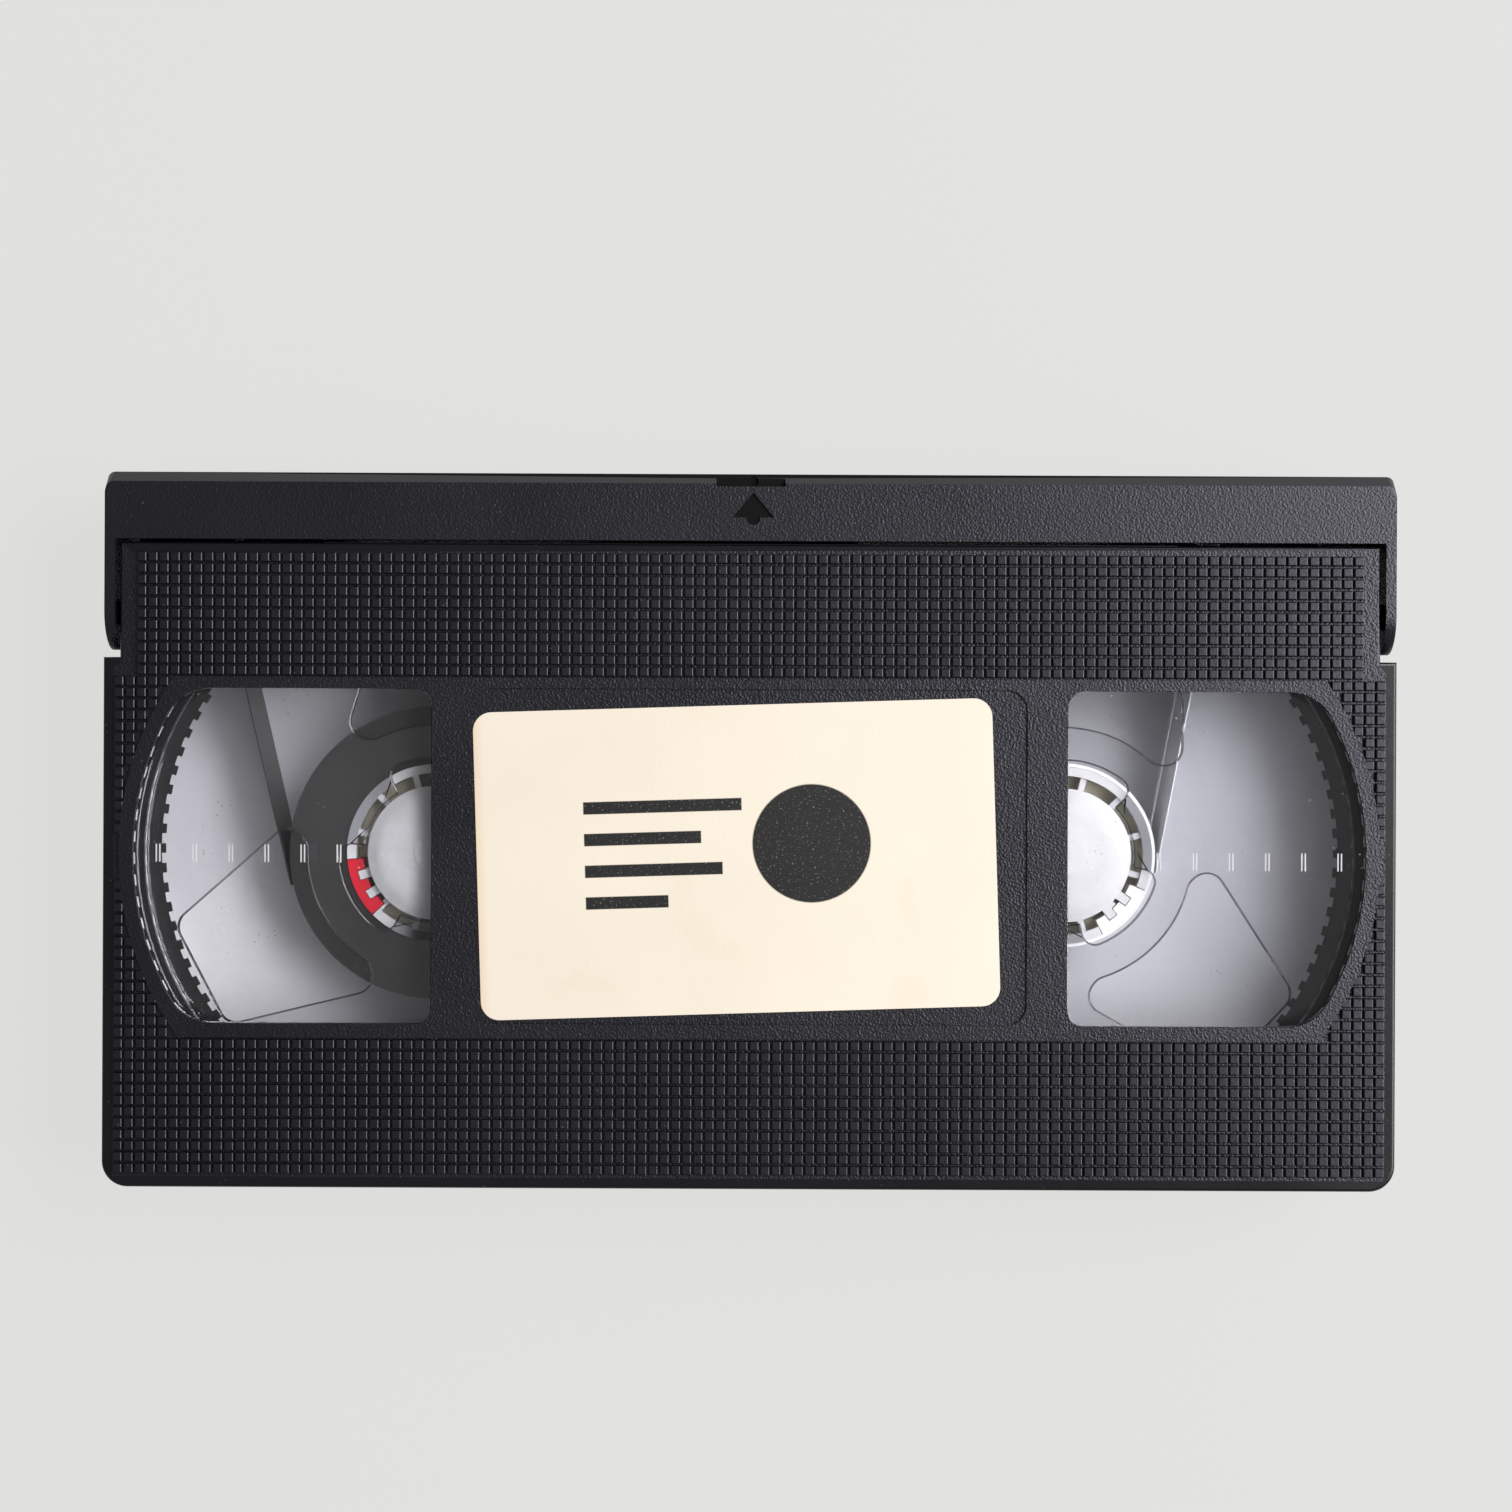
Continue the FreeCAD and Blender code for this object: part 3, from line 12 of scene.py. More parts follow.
import bpy
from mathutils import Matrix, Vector


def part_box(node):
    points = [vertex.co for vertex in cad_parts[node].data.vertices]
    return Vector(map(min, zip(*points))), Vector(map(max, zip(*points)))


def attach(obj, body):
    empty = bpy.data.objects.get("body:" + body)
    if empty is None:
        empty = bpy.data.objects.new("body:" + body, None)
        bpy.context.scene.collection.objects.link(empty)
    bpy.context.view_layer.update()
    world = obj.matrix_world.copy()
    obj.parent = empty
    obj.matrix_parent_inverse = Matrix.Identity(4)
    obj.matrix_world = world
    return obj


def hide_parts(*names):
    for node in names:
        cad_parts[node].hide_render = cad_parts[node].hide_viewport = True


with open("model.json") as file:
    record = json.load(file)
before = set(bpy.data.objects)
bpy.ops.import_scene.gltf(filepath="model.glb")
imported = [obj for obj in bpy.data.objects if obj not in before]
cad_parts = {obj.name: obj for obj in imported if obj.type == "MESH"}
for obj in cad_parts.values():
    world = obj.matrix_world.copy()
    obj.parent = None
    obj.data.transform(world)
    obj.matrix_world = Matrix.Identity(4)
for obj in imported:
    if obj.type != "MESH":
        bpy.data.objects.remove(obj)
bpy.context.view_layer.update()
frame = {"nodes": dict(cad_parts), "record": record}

mm = 0.001
nodes = frame["nodes"]

# %% [markdown]
# ## Camera, floor and light
# The cassette is seen from straight above, from about 40 cm. The camera is made first, because
# every later step is judged through it.

# %% Camera
camera = bpy.data.objects.new("camera", bpy.data.cameras.new("camera"))
camera.location = (0.9 * mm, 11.0 * mm, 405 * mm)
camera.rotation_euler = (0, 0, math.radians(0.25))
camera.data.lens = 62.4
camera.data.clip_start = 0.01
bpy.context.scene.collection.objects.link(camera)
bpy.context.scene.camera = camera
bpy.context.scene.view_settings.view_transform = "Standard"
print("camera height:", camera.location.z)


# %% [markdown]
# ## Selecting by hand
# An operator works on whatever is selected, and the loaded solids arrive selected. So each step
# first clears the selection and then picks the one object that it shapes.


# %% Picking one object
def deselect():
    if bpy.context.object and bpy.context.object.mode == "EDIT":
        bpy.ops.object.mode_set(mode="OBJECT")
    bpy.ops.object.select_all(action="DESELECT")


def pick(piece):
    """Selects one object alone and makes it the active one."""
    deselect()
    piece.select_set(True)
    bpy.context.view_layer.objects.active = piece
    return piece


print("selection helpers ready")

# %% [markdown]
# ## The floor
# A wide pale sheet. It is one plane, large enough to fill the view from low angles too.

# %% Floor
deselect()
bpy.ops.mesh.primitive_plane_add(size=6, location=(0, 0, 0))
floor = bpy.context.object
floor.name = "floor"
print("floor:", floor.dimensions.x)


# %% [markdown]
# ## Light
# Two long soft lamps hang on the right, one above the other, as the panes of a window would. The
# high one gives the black plastic on that side its sheen while the left side stays deep. The low
# one reaches under the windows' edges, so the reels are shaded towards the right. The world fills
# the shadows evenly.


# %% Lights
def soft_lamp(name, place, aim, width, height, power):
    """A rectangular lamp that faces a point."""
    lamp = bpy.data.objects.new(name, bpy.data.lights.new(name, "AREA"))
    lamp.data.shape = "RECTANGLE"
    lamp.data.size = width
    lamp.data.size_y = height
    lamp.data.energy = power
    lamp.location = place
    lamp.rotation_euler = (Vector(place) - Vector(aim)).to_track_quat("Z", "Y").to_euler()
    bpy.context.scene.collection.objects.link(lamp)
    return lamp


lamp_aim = (0.03, 0, 0)
soft_lamp("window_light", (0.54, 0.14, 0.86), lamp_aim, width=0.85, height=0.30, power=6.6)
soft_lamp("low_window_light", (0.86, 0.14, 0.52), lamp_aim, width=0.90, height=0.34, power=7.4)
world_strength = 0.21
world = bpy.data.worlds.new("studio")
bpy.context.scene.world = world
world.use_nodes = True
world.node_tree.nodes["Background"].inputs["Color"].default_value = (1, 1, 1, 1)
world.node_tree.nodes["Background"].inputs["Strength"].default_value = world_strength
print("lamps: 2, world strength:", world_strength)

# %% [markdown]
# ## Shared surface effects
# Moulded plastic, paper and film all need the same few effects: a fine grain, small specks and
# scratches, and slow changes of tone. Each effect is a node group with a size and a strength,
# built once and placed in every material that needs it. These helpers add one node and wire it in
# one line.


# %% Helpers for node trees
def add_node(tree, kind, **values):
    node = tree.nodes.new("ShaderNode" + kind)
    for key, value in values.items():
        setattr(node, key, value)
    return node


def wire(tree, source, target):
    tree.links.new(source, target)


def new_group(name, inputs, outputs):
    """An empty node group with number inputs and number outputs."""
    tree = bpy.data.node_groups.new(name, "ShaderNodeTree")
    for label, value in inputs:
        socket = tree.interface.new_socket(name=label, in_out="INPUT",
                                           socket_type="NodeSocketFloat")
        socket.default_value = value
    for label in outputs:
        tree.interface.new_socket(name=label, in_out="OUTPUT", socket_type="NodeSocketFloat")
    return tree, tree.nodes.new("NodeGroupInput"), tree.nodes.new("NodeGroupOutput")


def math_node(tree, operation, first, second):
    """A math node whose two inputs are sockets or plain numbers."""
    node = add_node(tree, "Math", operation=operation)
    for slot, value in zip(node.inputs, (first, second)):
        if isinstance(value, (int, float)):
            slot.default_value = value
        else:
            wire(tree, value, slot)
    return node.outputs[0]


def object_noise(tree, scale, detail=2.0, stretch=None):
    """Noise on object coordinates; scale is a socket or a number, in waves per metre."""
    place = add_node(tree, "TexCoord").outputs["Object"]
    if stretch:
        mapping = add_node(tree, "Mapping")
        mapping.inputs["Scale"].default_value = stretch
        wire(tree, place, mapping.inputs["Vector"])
        place = mapping.outputs["Vector"]
    noise = add_node(tree, "TexNoise")
    noise.inputs["Detail"].default_value = detail
    wire(tree, place, noise.inputs["Vector"])
    if isinstance(scale, (int, float)):
        noise.inputs["Scale"].default_value = scale
    else:
        wire(tree, scale, noise.inputs["Scale"])
    return noise.outputs["Fac"]


def remap(tree, value, low, high, new_low=0.0, new_high=1.0):
    node = add_node(tree, "MapRange")
    wire(tree, value, node.inputs["Value"])
    for name, number in (("From Min", low), ("From Max", high),
                         ("To Min", new_low), ("To Max", new_high)):
        node.inputs[name].default_value = number
    return node.outputs["Result"]


print("node helpers ready")


# %% [markdown]
# The moulds of such a case are spark eroded, which leaves fine rounded pebbles on the plastic.
# Smooth Voronoi cells give the pebbles, and a little noise keeps them from looking regular.


# %% Group: moulded grain
def build_grain_group():
    """Fine pebbled height, as spark-eroded moulds leave on plastic."""
    tree, start, end = new_group("moulded_grain", [("Scale", 2600.0)], ["Height", "Tone"])
    pebble = add_node(tree, "TexVoronoi", feature="SMOOTH_F1")
    wire(tree, add_node(tree, "TexCoord").outputs["Object"], pebble.inputs["Vector"])
    wire(tree, start.outputs["Scale"], pebble.inputs["Scale"])
    fine = object_noise(tree, start.outputs["Scale"], 3.0)
    height = math_node(tree, "ADD", pebble.outputs["Distance"], fine)
    wire(tree, height, end.inputs["Height"])
    wire(tree, object_noise(tree, 45.0, 3.0), end.inputs["Tone"])
    return tree


grain_group = build_grain_group()
print("group:", grain_group.name)


# %% [markdown]
# Dust lies in sparse patches: small spots at the middle of some Voronoi cells, where a wider
# noise lets them through. Scratches are noise drawn out along one axis, and only its rare peaks
# count.


# %% Group: dust and scratches
def build_wear_group():
    """Sparse bright specks and long thin scratches, as two masks."""
    tree, start, end = new_group("dust_and_scratches", [("Speck size", 900.0), ("Amount", 0.5)],
                                 ["Dust", "Scratch"])
    cells = add_node(tree, "TexVoronoi")
    wire(tree, add_node(tree, "TexCoord").outputs["Object"], cells.inputs["Vector"])
    wire(tree, start.outputs["Speck size"], cells.inputs["Scale"])
    near_centre = remap(tree, cells.outputs["Distance"], 0.15, 0.05)
    patchy = remap(tree, object_noise(tree, 160.0, 3.0), 0.56, 0.66)
    dust = math_node(tree, "MULTIPLY", near_centre, patchy)
    wire(tree, math_node(tree, "MULTIPLY", dust, start.outputs["Amount"]), end.inputs["Dust"])
    streak = object_noise(tree, 900.0, 1.0, stretch=(0.05, 1.0, 1.0))
    thin = remap(tree, streak, 0.76, 0.80)
    rare = remap(tree, object_noise(tree, 70.0, 2.0), 0.58, 0.68, 0.0, 0.4)
    scratch = math_node(tree, "MULTIPLY", thin, rare)
    wire(tree, math_node(tree, "MULTIPLY", scratch, start.outputs["Amount"]), end.inputs["Scratch"])
    return tree


wear_group = build_wear_group()
print("group:", wear_group.name)

# %% [markdown]
# ## Materials
# Each finish is a Principled shader. Numbers that are the same all over are set on its own
# sockets, and only what changes over the surface comes from nodes: a tone that drifts a little, a
# grain that feeds the bump, and a few specks of dust that are lighter and rougher than the
# plastic below.


# %% Opaque finishes
def tint(colour, share):
    return tuple(min(1.0, part * share) for part in colour) + (1.0,)


def mix_colours(tree, factor, first, second):
    node = add_node(tree, "Mix", data_type="RGBA")
    wire(tree, factor, node.inputs[0])
    for slot, value in ((node.inputs[6], first), (node.inputs[7], second)):
        if isinstance(value, tuple):
            slot.default_value = value
        else:
            wire(tree, value, slot)
    return node.outputs[2]


def finish(name, colour, rough, grain=0.0, scale=2600.0, dust=0.0, tone=0.12, metal=0.0,
           specular=0.5, dust_colour=(0.35, 0.35, 0.36, 1.0)):
    """A solid finish with a drifting tone, a grained surface and some dust."""
    material = bpy.data.materials.new(name)
    material.use_nodes = True
    tree = material.node_tree
    shader = tree.nodes["Principled BSDF"]
    shader.inputs["Metallic"].default_value = metal
    shader.inputs["Specular IOR Level"].default_value = specular
    grained = add_node(tree, "Group", node_tree=grain_group)
    grained.inputs["Scale"].default_value = scale
    drift = remap(tree, grained.outputs["Tone"], 0.3, 0.7)
    colours = mix_colours(tree, drift, tint(colour, 1 - tone), tint(colour, 1 + tone))
    if dust > 0:
        worn = add_node(tree, "Group", node_tree=wear_group)
        worn.inputs["Amount"].default_value = dust
        marks = math_node(tree, "MAXIMUM", worn.outputs["Dust"], worn.outputs["Scratch"])
        colours = mix_colours(tree, marks, colours, dust_colour)
    wire(tree, colours, shader.inputs["Base Color"])
    wire(tree, remap(tree, grained.outputs["Tone"], 0.3, 0.7, rough * 0.9, min(1.0, rough * 1.1)),
         shader.inputs["Roughness"])
    if grain > 0:
        bump = add_node(tree, "Bump")
        bump.inputs["Strength"].default_value = grain
        bump.inputs["Distance"].default_value = 0.12 * mm
        wire(tree, grained.outputs["Height"], bump.inputs["Height"])
        wire(tree, bump.outputs["Normal"], shader.inputs["Normal"])
    return material


case_black = (0.0032, 0.0030, 0.0050)
case_rough = 0.37
shell_black = finish("shell_black", case_black, case_rough, grain=0.55, scale=3300, dust=0.25)
pad_black = finish("pad_black", case_black, case_rough, grain=0.12, scale=2300, dust=0.3)
lid_black = finish("lid_black", case_black, case_rough, grain=0.42, scale=3300, dust=0.25)
clamp_red = finish("clamp_red", (0.60, 0.010, 0.030), 0.25, tone=0.06)
clamp_white = finish("clamp_white", (0.72, 0.71, 0.68), 0.35, tone=0.05)
roller_grey = finish("roller_grey", (0.42, 0.42, 0.43), 0.45, grain=0.1)
pin_steel = finish("pin_steel", (0.62, 0.62, 0.63), 0.22, tone=0.05, metal=1.0)
spring_steel = finish("spring_steel", (0.55, 0.55, 0.56), 0.3, tone=0.06, metal=1.0)
screw_steel = finish("screw_steel", (0.46, 0.47, 0.49), 0.34, grain=0.1, tone=0.1, metal=1.0)
lever_grey = finish("lever_grey", (0.3, 0.3, 0.31), 0.5, grain=0.15)
ledge_gloss = finish("ledge_gloss", (0.0045, 0.0043, 0.0065), 0.27, grain=0.06, scale=900,
                     dust=0.3)
pressed_dark = finish("pressed_dark", (0.0040, 0.0038, 0.0045), 0.6, specular=0.12)
# Painted sheen: the lid's front slope is the same black plastic, painted lighter.
chamfer_painted_sheen = finish("chamfer_painted_sheen", (0.012, 0.012, 0.015), 0.45, specular=0.9)
bluish_sheen = (0.90, 0.88, 1.0, 1.0)
for black in (shell_black, pad_black, lid_black):
    sockets = black.node_tree.nodes["Principled BSDF"].inputs
    sockets["Specular Tint"].default_value = bluish_sheen
    sockets["Specular IOR Level"].default_value = 0.72
print("solid finishes:", len(bpy.data.materials))

# %% [markdown]
# The reels are white and slightly cloudy. The wall of the domed cap is thin, so it glows
# unevenly. The dome gets a slow uneven bump. Masks on the height tell the cap, the groove and the
# lower flange apart, and each has its own tone. The caps are painted darker than the white plastic,
# as painted shade, and the take-up reel's cap is darker again. The deep ring groove round the cap
# is painted a darker beige, partly its own tint and partly painted shade. The lower flange keeps
# the plain white on the supply reel and is painted darker, as painted shade, on the take-up reel.


# %% Reel plastic
# Groove tone: a beige tint, darker than the cap as painted shade in the deep groove.
groove_beige_and_shade = (0.50, 0.47, 0.38, 1.0)
reel_x = 46.2 * mm
reel_y = -3.4 * mm


def reel_finish_and_shade(name, cap_colour_painted_shade, flange_colour_and_shade):
    """White reel plastic whose cap, groove and lower flange get their own tones; these paint shade
    on it.
    """
    material = finish(name, cap_colour_painted_shade, 0.5, tone=0.06, specular=0.25)
    tree = material.node_tree
    shader = tree.nodes["Principled BSDF"]
    plain = shader.inputs["Base Color"].links[0].from_socket
    split = add_node(tree, "SeparateXYZ")
    wire(tree, add_node(tree, "TexCoord").outputs["Object"], split.inputs["Vector"])
    hub_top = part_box("supply_top_flange")[0][2]
    above_flange = remap(tree, split.outputs["Z"], hub_top - 9.5 * mm, hub_top - 8 * mm)
    below_top = remap(tree, split.outputs["Z"], hub_top - 0.5 * mm, hub_top - 2.5 * mm)
    in_groove = math_node(tree, "MULTIPLY", above_flange, below_top)
    # Lower-flange mask: there the colour is plain white on the supply reel and painted shade on the
    # take-up reel.
    low = remap(tree, split.outputs["Z"], hub_top - 9 * mm, hub_top - 10 * mm)
    plain = mix_colours(tree, low, plain, flange_colour_and_shade + (1.0,))
    # The groove gets its beige tint together with painted shade.
    tinted = mix_colours(tree, in_groove, plain, groove_beige_and_shade)
    wire(tree, tinted, shader.inputs["Base Color"])
    bump = add_node(tree, "Bump")
    bump.inputs["Strength"].default_value = 0.35
    bump.inputs["Distance"].default_value = 0.25 * mm
    wire(tree, object_noise(tree, 330.0, 2.5), bump.inputs["Height"])
    wire(tree, bump.outputs["Normal"], shader.inputs["Normal"])
    return material


# Both reels are the same white plastic: the darker caps and the take-up reel's darker lower flange
# are painted shade.
reel_white = reel_finish_and_shade("reel_white", (0.59, 0.585, 0.61), (0.80, 0.79, 0.83))
takeup_white_painted_shade = reel_finish_and_shade("takeup_white_painted_shade", (0.52, 0.517, 0.535), (0.50, 0.50, 0.535))
print("reel finishes:", reel_white.name, takeup_white_painted_shade.name)

# %% [markdown]
# The tape is wound on edge, so from above its turns show as very fine rings. A wave on the
# distance from the reel's axis gives them: a Mapping node moves the pattern's centre to that
# axis.


# %% Wound tape
def wound(name, colour, side, rough):
    """A finish with fine rings round one reel's axis."""
    material = finish(name, colour, rough, tone=0.2, dust=0.5,
                      dust_colour=(0.3, 0.29, 0.28, 1.0))
    tree = material.node_tree
    shader = tree.nodes["Principled BSDF"]
    mapping = add_node(tree, "Mapping")
    mapping.inputs["Location"].default_value = (-side * reel_x, -reel_y, 0)
    wire(tree, add_node(tree, "TexCoord").outputs["Object"], mapping.inputs["Vector"])
    rings = add_node(tree, "TexWave", wave_type="RINGS", rings_direction="Z")
    rings.inputs["Scale"].default_value = 420
    rings.inputs["Distortion"].default_value = 0.4
    wire(tree, mapping.outputs["Vector"], rings.inputs["Vector"])
    bump = add_node(tree, "Bump")
    bump.inputs["Strength"].default_value = 0.25
    bump.inputs["Distance"].default_value = 0.02 * mm
    wire(tree, rings.outputs["Fac"], bump.inputs["Height"])
    wire(tree, bump.outputs["Normal"], shader.inputs["Normal"])
    return material


tape_dark = wound("tape_dark", (0.018, 0.0165, 0.0165), -1, 0.35)
leader_clear = wound("leader_clear", (0.76, 0.76, 0.78), 1, 0.3)
print("tape finishes:", tape_dark.name, leader_clear.name)

# %% [markdown]
# Windows and upper flanges are clear polystyrene. Light has to reach the reels through them, so for
# shadow rays the glass gives way to a transparent shader; seen directly it refracts and reflects as
# glass does. The rim of an upper flange gets a dark tint, a painted shade for the light that its
# rounded edge bends away.


# %% Clear plastic
def clear(name, colour, rough, dust):
    material = finish(name, colour, rough, tone=0.02)
    tree = material.node_tree
    shader = tree.nodes["Principled BSDF"]
    shader.inputs["Transmission Weight"].default_value = 1.0
    shader.inputs["IOR"].default_value = 1.49
    for link in list(shader.inputs["Roughness"].links):
        tree.links.remove(link)
    shader.inputs["Roughness"].default_value = rough
    shown = shader.outputs[0]
    if dust > 0:
        worn = add_node(tree, "Group", node_tree=wear_group)
        worn.inputs["Amount"].default_value = dust
        speck = add_node(tree, "BsdfDiffuse")
        speck.inputs["Color"].default_value = (0.8, 0.8, 0.82, 1)
        dusty = add_node(tree, "MixShader")
        marks = math_node(tree, "MAXIMUM", worn.outputs["Dust"], worn.outputs["Scratch"])
        wire(tree, marks, dusty.inputs[0])
        wire(tree, shown, dusty.inputs[1])
        wire(tree, speck.outputs[0], dusty.inputs[2])
        shown = dusty.outputs[0]
    passing = add_node(tree, "BsdfTransparent")
    passing.inputs["Color"].default_value = (0.93, 0.93, 0.94, 1)
    choice = add_node(tree, "MixShader")
    wire(tree, add_node(tree, "LightPath").outputs["Is Shadow Ray"], choice.inputs[0])
    wire(tree, shown, choice.inputs[1])
    wire(tree, passing.outputs[0], choice.inputs[2])
    wire(tree, choice.outputs[0], tree.nodes["Material Output"].inputs["Surface"])
    return material


window_clear = clear("window_clear", (0.96, 0.96, 0.97), 0.02, 0.5)
mark_white = finish("mark_white", (0.75, 0.75, 0.77), 0.3, tone=0.05)
flange_clear = clear("flange_clear", (0.95, 0.95, 0.96), 0.03, 0.0)
# Painted shade: the rim of an upper flange is tinted dark, though the plastic is clear.
flange_rim_painted_shade = clear("flange_rim_painted_shade", (0.14, 0.14, 0.16), 0.12, 0.0)
print("clear finishes:", window_clear.name, flange_clear.name, flange_rim_painted_shade.name)


# %% [markdown]
# ## The sticker
# The sticker is cream paper with a plain black print. The print is not in the mesh: masks on the
# object coordinates, turned with the paper, say where ink lies. A disc and a few bars are enough,
# and a fine noise eats into their edges as a coarse print does. Faint stains and a warmer left
# edge come on top.

# %% Group: printed shapes
label_turn = math.radians(1.9)
label_middle = (-1.9 * mm, -4.0 * mm, 0.0)


def box_mask(tree, split, centre, half_width, half_height):
    """One inside a rectangle, zero outside, with a soft edge of 0.1 mm."""
    masks = []
    for axis, middle, half in (("X", centre[0], half_width), ("Y", centre[1], half_height)):
        off_middle = math_node(tree, "SUBTRACT", split.outputs[axis], middle)
        away = math_node(tree, "ABSOLUTE", off_middle, 0.0)
        masks.append(remap(tree, away, half + 0.05 * mm, half - 0.05 * mm))
    return math_node(tree, "MULTIPLY", masks[0], masks[1])


def build_print_group():
    """Ink where the disc and the bars lie, and warmth near the paper's left edge."""
    tree, start, end = new_group("printed_shapes", [("Edge wear", 0.18)], ["Ink", "Warm edge"])
    mapping = add_node(tree, "Mapping", vector_type="TEXTURE")
    mapping.inputs["Location"].default_value = label_middle
    mapping.inputs["Rotation"].default_value = (0, 0, label_turn)
    wire(tree, add_node(tree, "TexCoord").outputs["Object"], mapping.inputs["Vector"])
    split = add_node(tree, "SeparateXYZ")
    wire(tree, mapping.outputs["Vector"], split.inputs["Vector"])
    flat = add_node(tree, "CombineXYZ")
    wire(tree, split.outputs["X"], flat.inputs["X"])
    wire(tree, split.outputs["Y"], flat.inputs["Y"])
    reach = add_node(tree, "VectorMath", operation="DISTANCE")
    wire(tree, flat.outputs["Vector"], reach.inputs[0])
    reach.inputs[1].default_value = (11.0 * mm, 2.0 * mm, 0)
    ink = remap(tree, reach.outputs["Value"], 8.7 * mm, 8.5 * mm)
    for number, length in enumerate((11.5, 8.5, 10.0, 6.0)):
        centre = ((-22.0 + length) * mm, (8.0 - number * 4.6) * mm)
        ink = math_node(tree, "MAXIMUM", ink, box_mask(tree, split, centre, length * mm, 0.9 * mm))
    worn = math_node(tree, "MULTIPLY", remap(tree, object_noise(tree, 3400.0, 2.0), 0.63, 0.69),
                     start.outputs["Edge wear"])
    wire(tree, math_node(tree, "SUBTRACT", ink, worn), end.inputs["Ink"])
    wire(tree, remap(tree, split.outputs["X"], -36.2 * mm, -38.0 * mm), end.inputs["Warm edge"])
    return tree


print_group = build_print_group()
print("group:", print_group.name)


# %% Label paper
def label_finish():
    """Cream sticker: faint stains, a warmer left edge and the print."""
    material = finish("label_paper", (0.98, 0.88, 0.735), 0.5, grain=0.06, scale=1500, tone=0.02)
    tree = material.node_tree
    shader = tree.nodes["Principled BSDF"]
    paper = shader.inputs["Base Color"].links[0].from_socket
    printed = add_node(tree, "Group", node_tree=print_group)
    stain = remap(tree, object_noise(tree, 75.0, 4.0), 0.60, 0.78, 0.0, 0.35)
    stained = mix_colours(tree, stain, paper, (0.90, 0.72, 0.50, 1.0))
    warmed = mix_colours(tree, remap(tree, printed.outputs["Warm edge"], 0, 1, 0, 0.6), stained,
                         (0.90, 0.62, 0.38, 1.0))
    ink = add_node(tree, "Clamp")
    wire(tree, printed.outputs["Ink"], ink.inputs["Value"])
    inked = mix_colours(tree, ink.outputs["Result"], warmed, (0.012, 0.011, 0.011, 1.0))
    wire(tree, inked, shader.inputs["Base Color"])
    return material


label_paper = label_finish()
print("sticker finish:", label_paper.name)

# %% [markdown]
# The floor has to come out as the same pale grey all over, so for the camera, and in what glass
# and gloss show of it, most of its light is its own, and the rest is real light that keeps a soft
# shadow.


# %% Floor finish
floor_tone = (0.76, 0.76, 0.745)


def floor_finish():
    material = finish("floor_pale", floor_tone, 0.8, tone=0.0, specular=0.0)
    tree = material.node_tree
    own_light = add_node(tree, "Emission")
    own_light.inputs["Color"].default_value = floor_tone + (1.0,)
    rays = add_node(tree, "LightPath")
    seen = math_node(tree, "MAXIMUM", rays.outputs["Is Camera Ray"], rays.outputs["Is Glossy Ray"])
    seen = math_node(tree, "MAXIMUM", seen, rays.outputs["Is Transmission Ray"])
    split = add_node(tree, "SeparateXYZ")
    wire(tree, add_node(tree, "TexCoord").outputs["Object"], split.inputs["Vector"])
    covered = box_mask(tree, split, (0.0, 0.0), 90 * mm, 48 * mm)
    share = math_node(tree, "MULTIPLY", seen, remap(tree, covered, 0, 1, 0.91, 0))
    choice = add_node(tree, "MixShader")
    wire(tree, share, choice.inputs[0])
    wire(tree, tree.nodes["Principled BSDF"].outputs[0], choice.inputs[1])
    wire(tree, own_light.outputs[0], choice.inputs[2])
    wire(tree, choice.outputs[0], tree.nodes["Material Output"].inputs["Surface"])
    return material


def continue_floor():
    """Lets the camera see the floor's tone beyond its edge; the lighting stays as it is."""
    tree = world.node_tree
    beyond = add_node(tree, "Background")
    beyond.inputs["Color"].default_value = floor_tone + (1.0,)
    choice = add_node(tree, "MixShader")
    wire(tree, add_node(tree, "LightPath").outputs["Is Camera Ray"], choice.inputs[0])
    wire(tree, tree.nodes["Background"].outputs[0], choice.inputs[1])
    wire(tree, beyond.outputs[0], choice.inputs[2])
    wire(tree, choice.outputs[0], tree.nodes["World Output"].inputs["Surface"])


floor.data.materials.append(floor_finish())
continue_floor()
print("materials:", len(bpy.data.materials))

# %% [markdown]
# ## Dressing the loaded solids
# Every solid of the frame names its material slot in the record. One table from slot to finish
# dresses them all, also the ones that only show from below or with the lid open.

# %% Dress the nodes
finish_of = {
    "shell_black": shell_black, "lid_black": lid_black, "window_clear": window_clear,
    "label_paper": label_paper, "reel_white": reel_white, "clamp_red": clamp_red,
    "clamp_white": clamp_white, "flange_clear": flange_clear, "tape_dark": tape_dark,
    "leader_clear": leader_clear, "roller_grey": roller_grey, "pin_steel": pin_steel,
    "spring_steel": spring_steel, "screw_steel": screw_steel, "lever_grey": lever_grey,
}
slot_of = {part["node"]: part["material_slot"] for part in frame["record"]["subparts"]}
for name, node in nodes.items():
    node.data.materials.clear()
    node.data.materials.append(finish_of[slot_of[name]])
print("dressed:", len(nodes))

# %% [markdown]
# ## The grip field
# The top is moulded as a close grid of small square pads between V-shaped grooves. The solid has
# rows only, so a copy of the upper shell gets its field cut level, and the pads stand on it. The
# copy is merged first, because a loaded solid is loose triangles. These helpers serve every such
# copy.


# %% A merged copy of a node
def merged_copy(node_name, name):
    """A welded copy of a CAD node's mesh, with its loose triangles joined."""
    piece = bpy.data.objects.new(name, nodes[node_name].data.copy())
    bpy.context.scene.collection.objects.link(piece)
    pick(piece)
    bpy.ops.mesh.customdata_custom_splitnormals_clear()
    bpy.ops.object.mode_set(mode="EDIT")
    bpy.ops.mesh.select_all(action="SELECT")
    bpy.ops.mesh.remove_doubles(threshold=0.002 * mm)
    bpy.ops.object.mode_set(mode="OBJECT")
    return piece


def smooth(piece, degrees=35):
    pick(piece)
    bpy.ops.object.shade_smooth_by_angle(angle=math.radians(degrees))


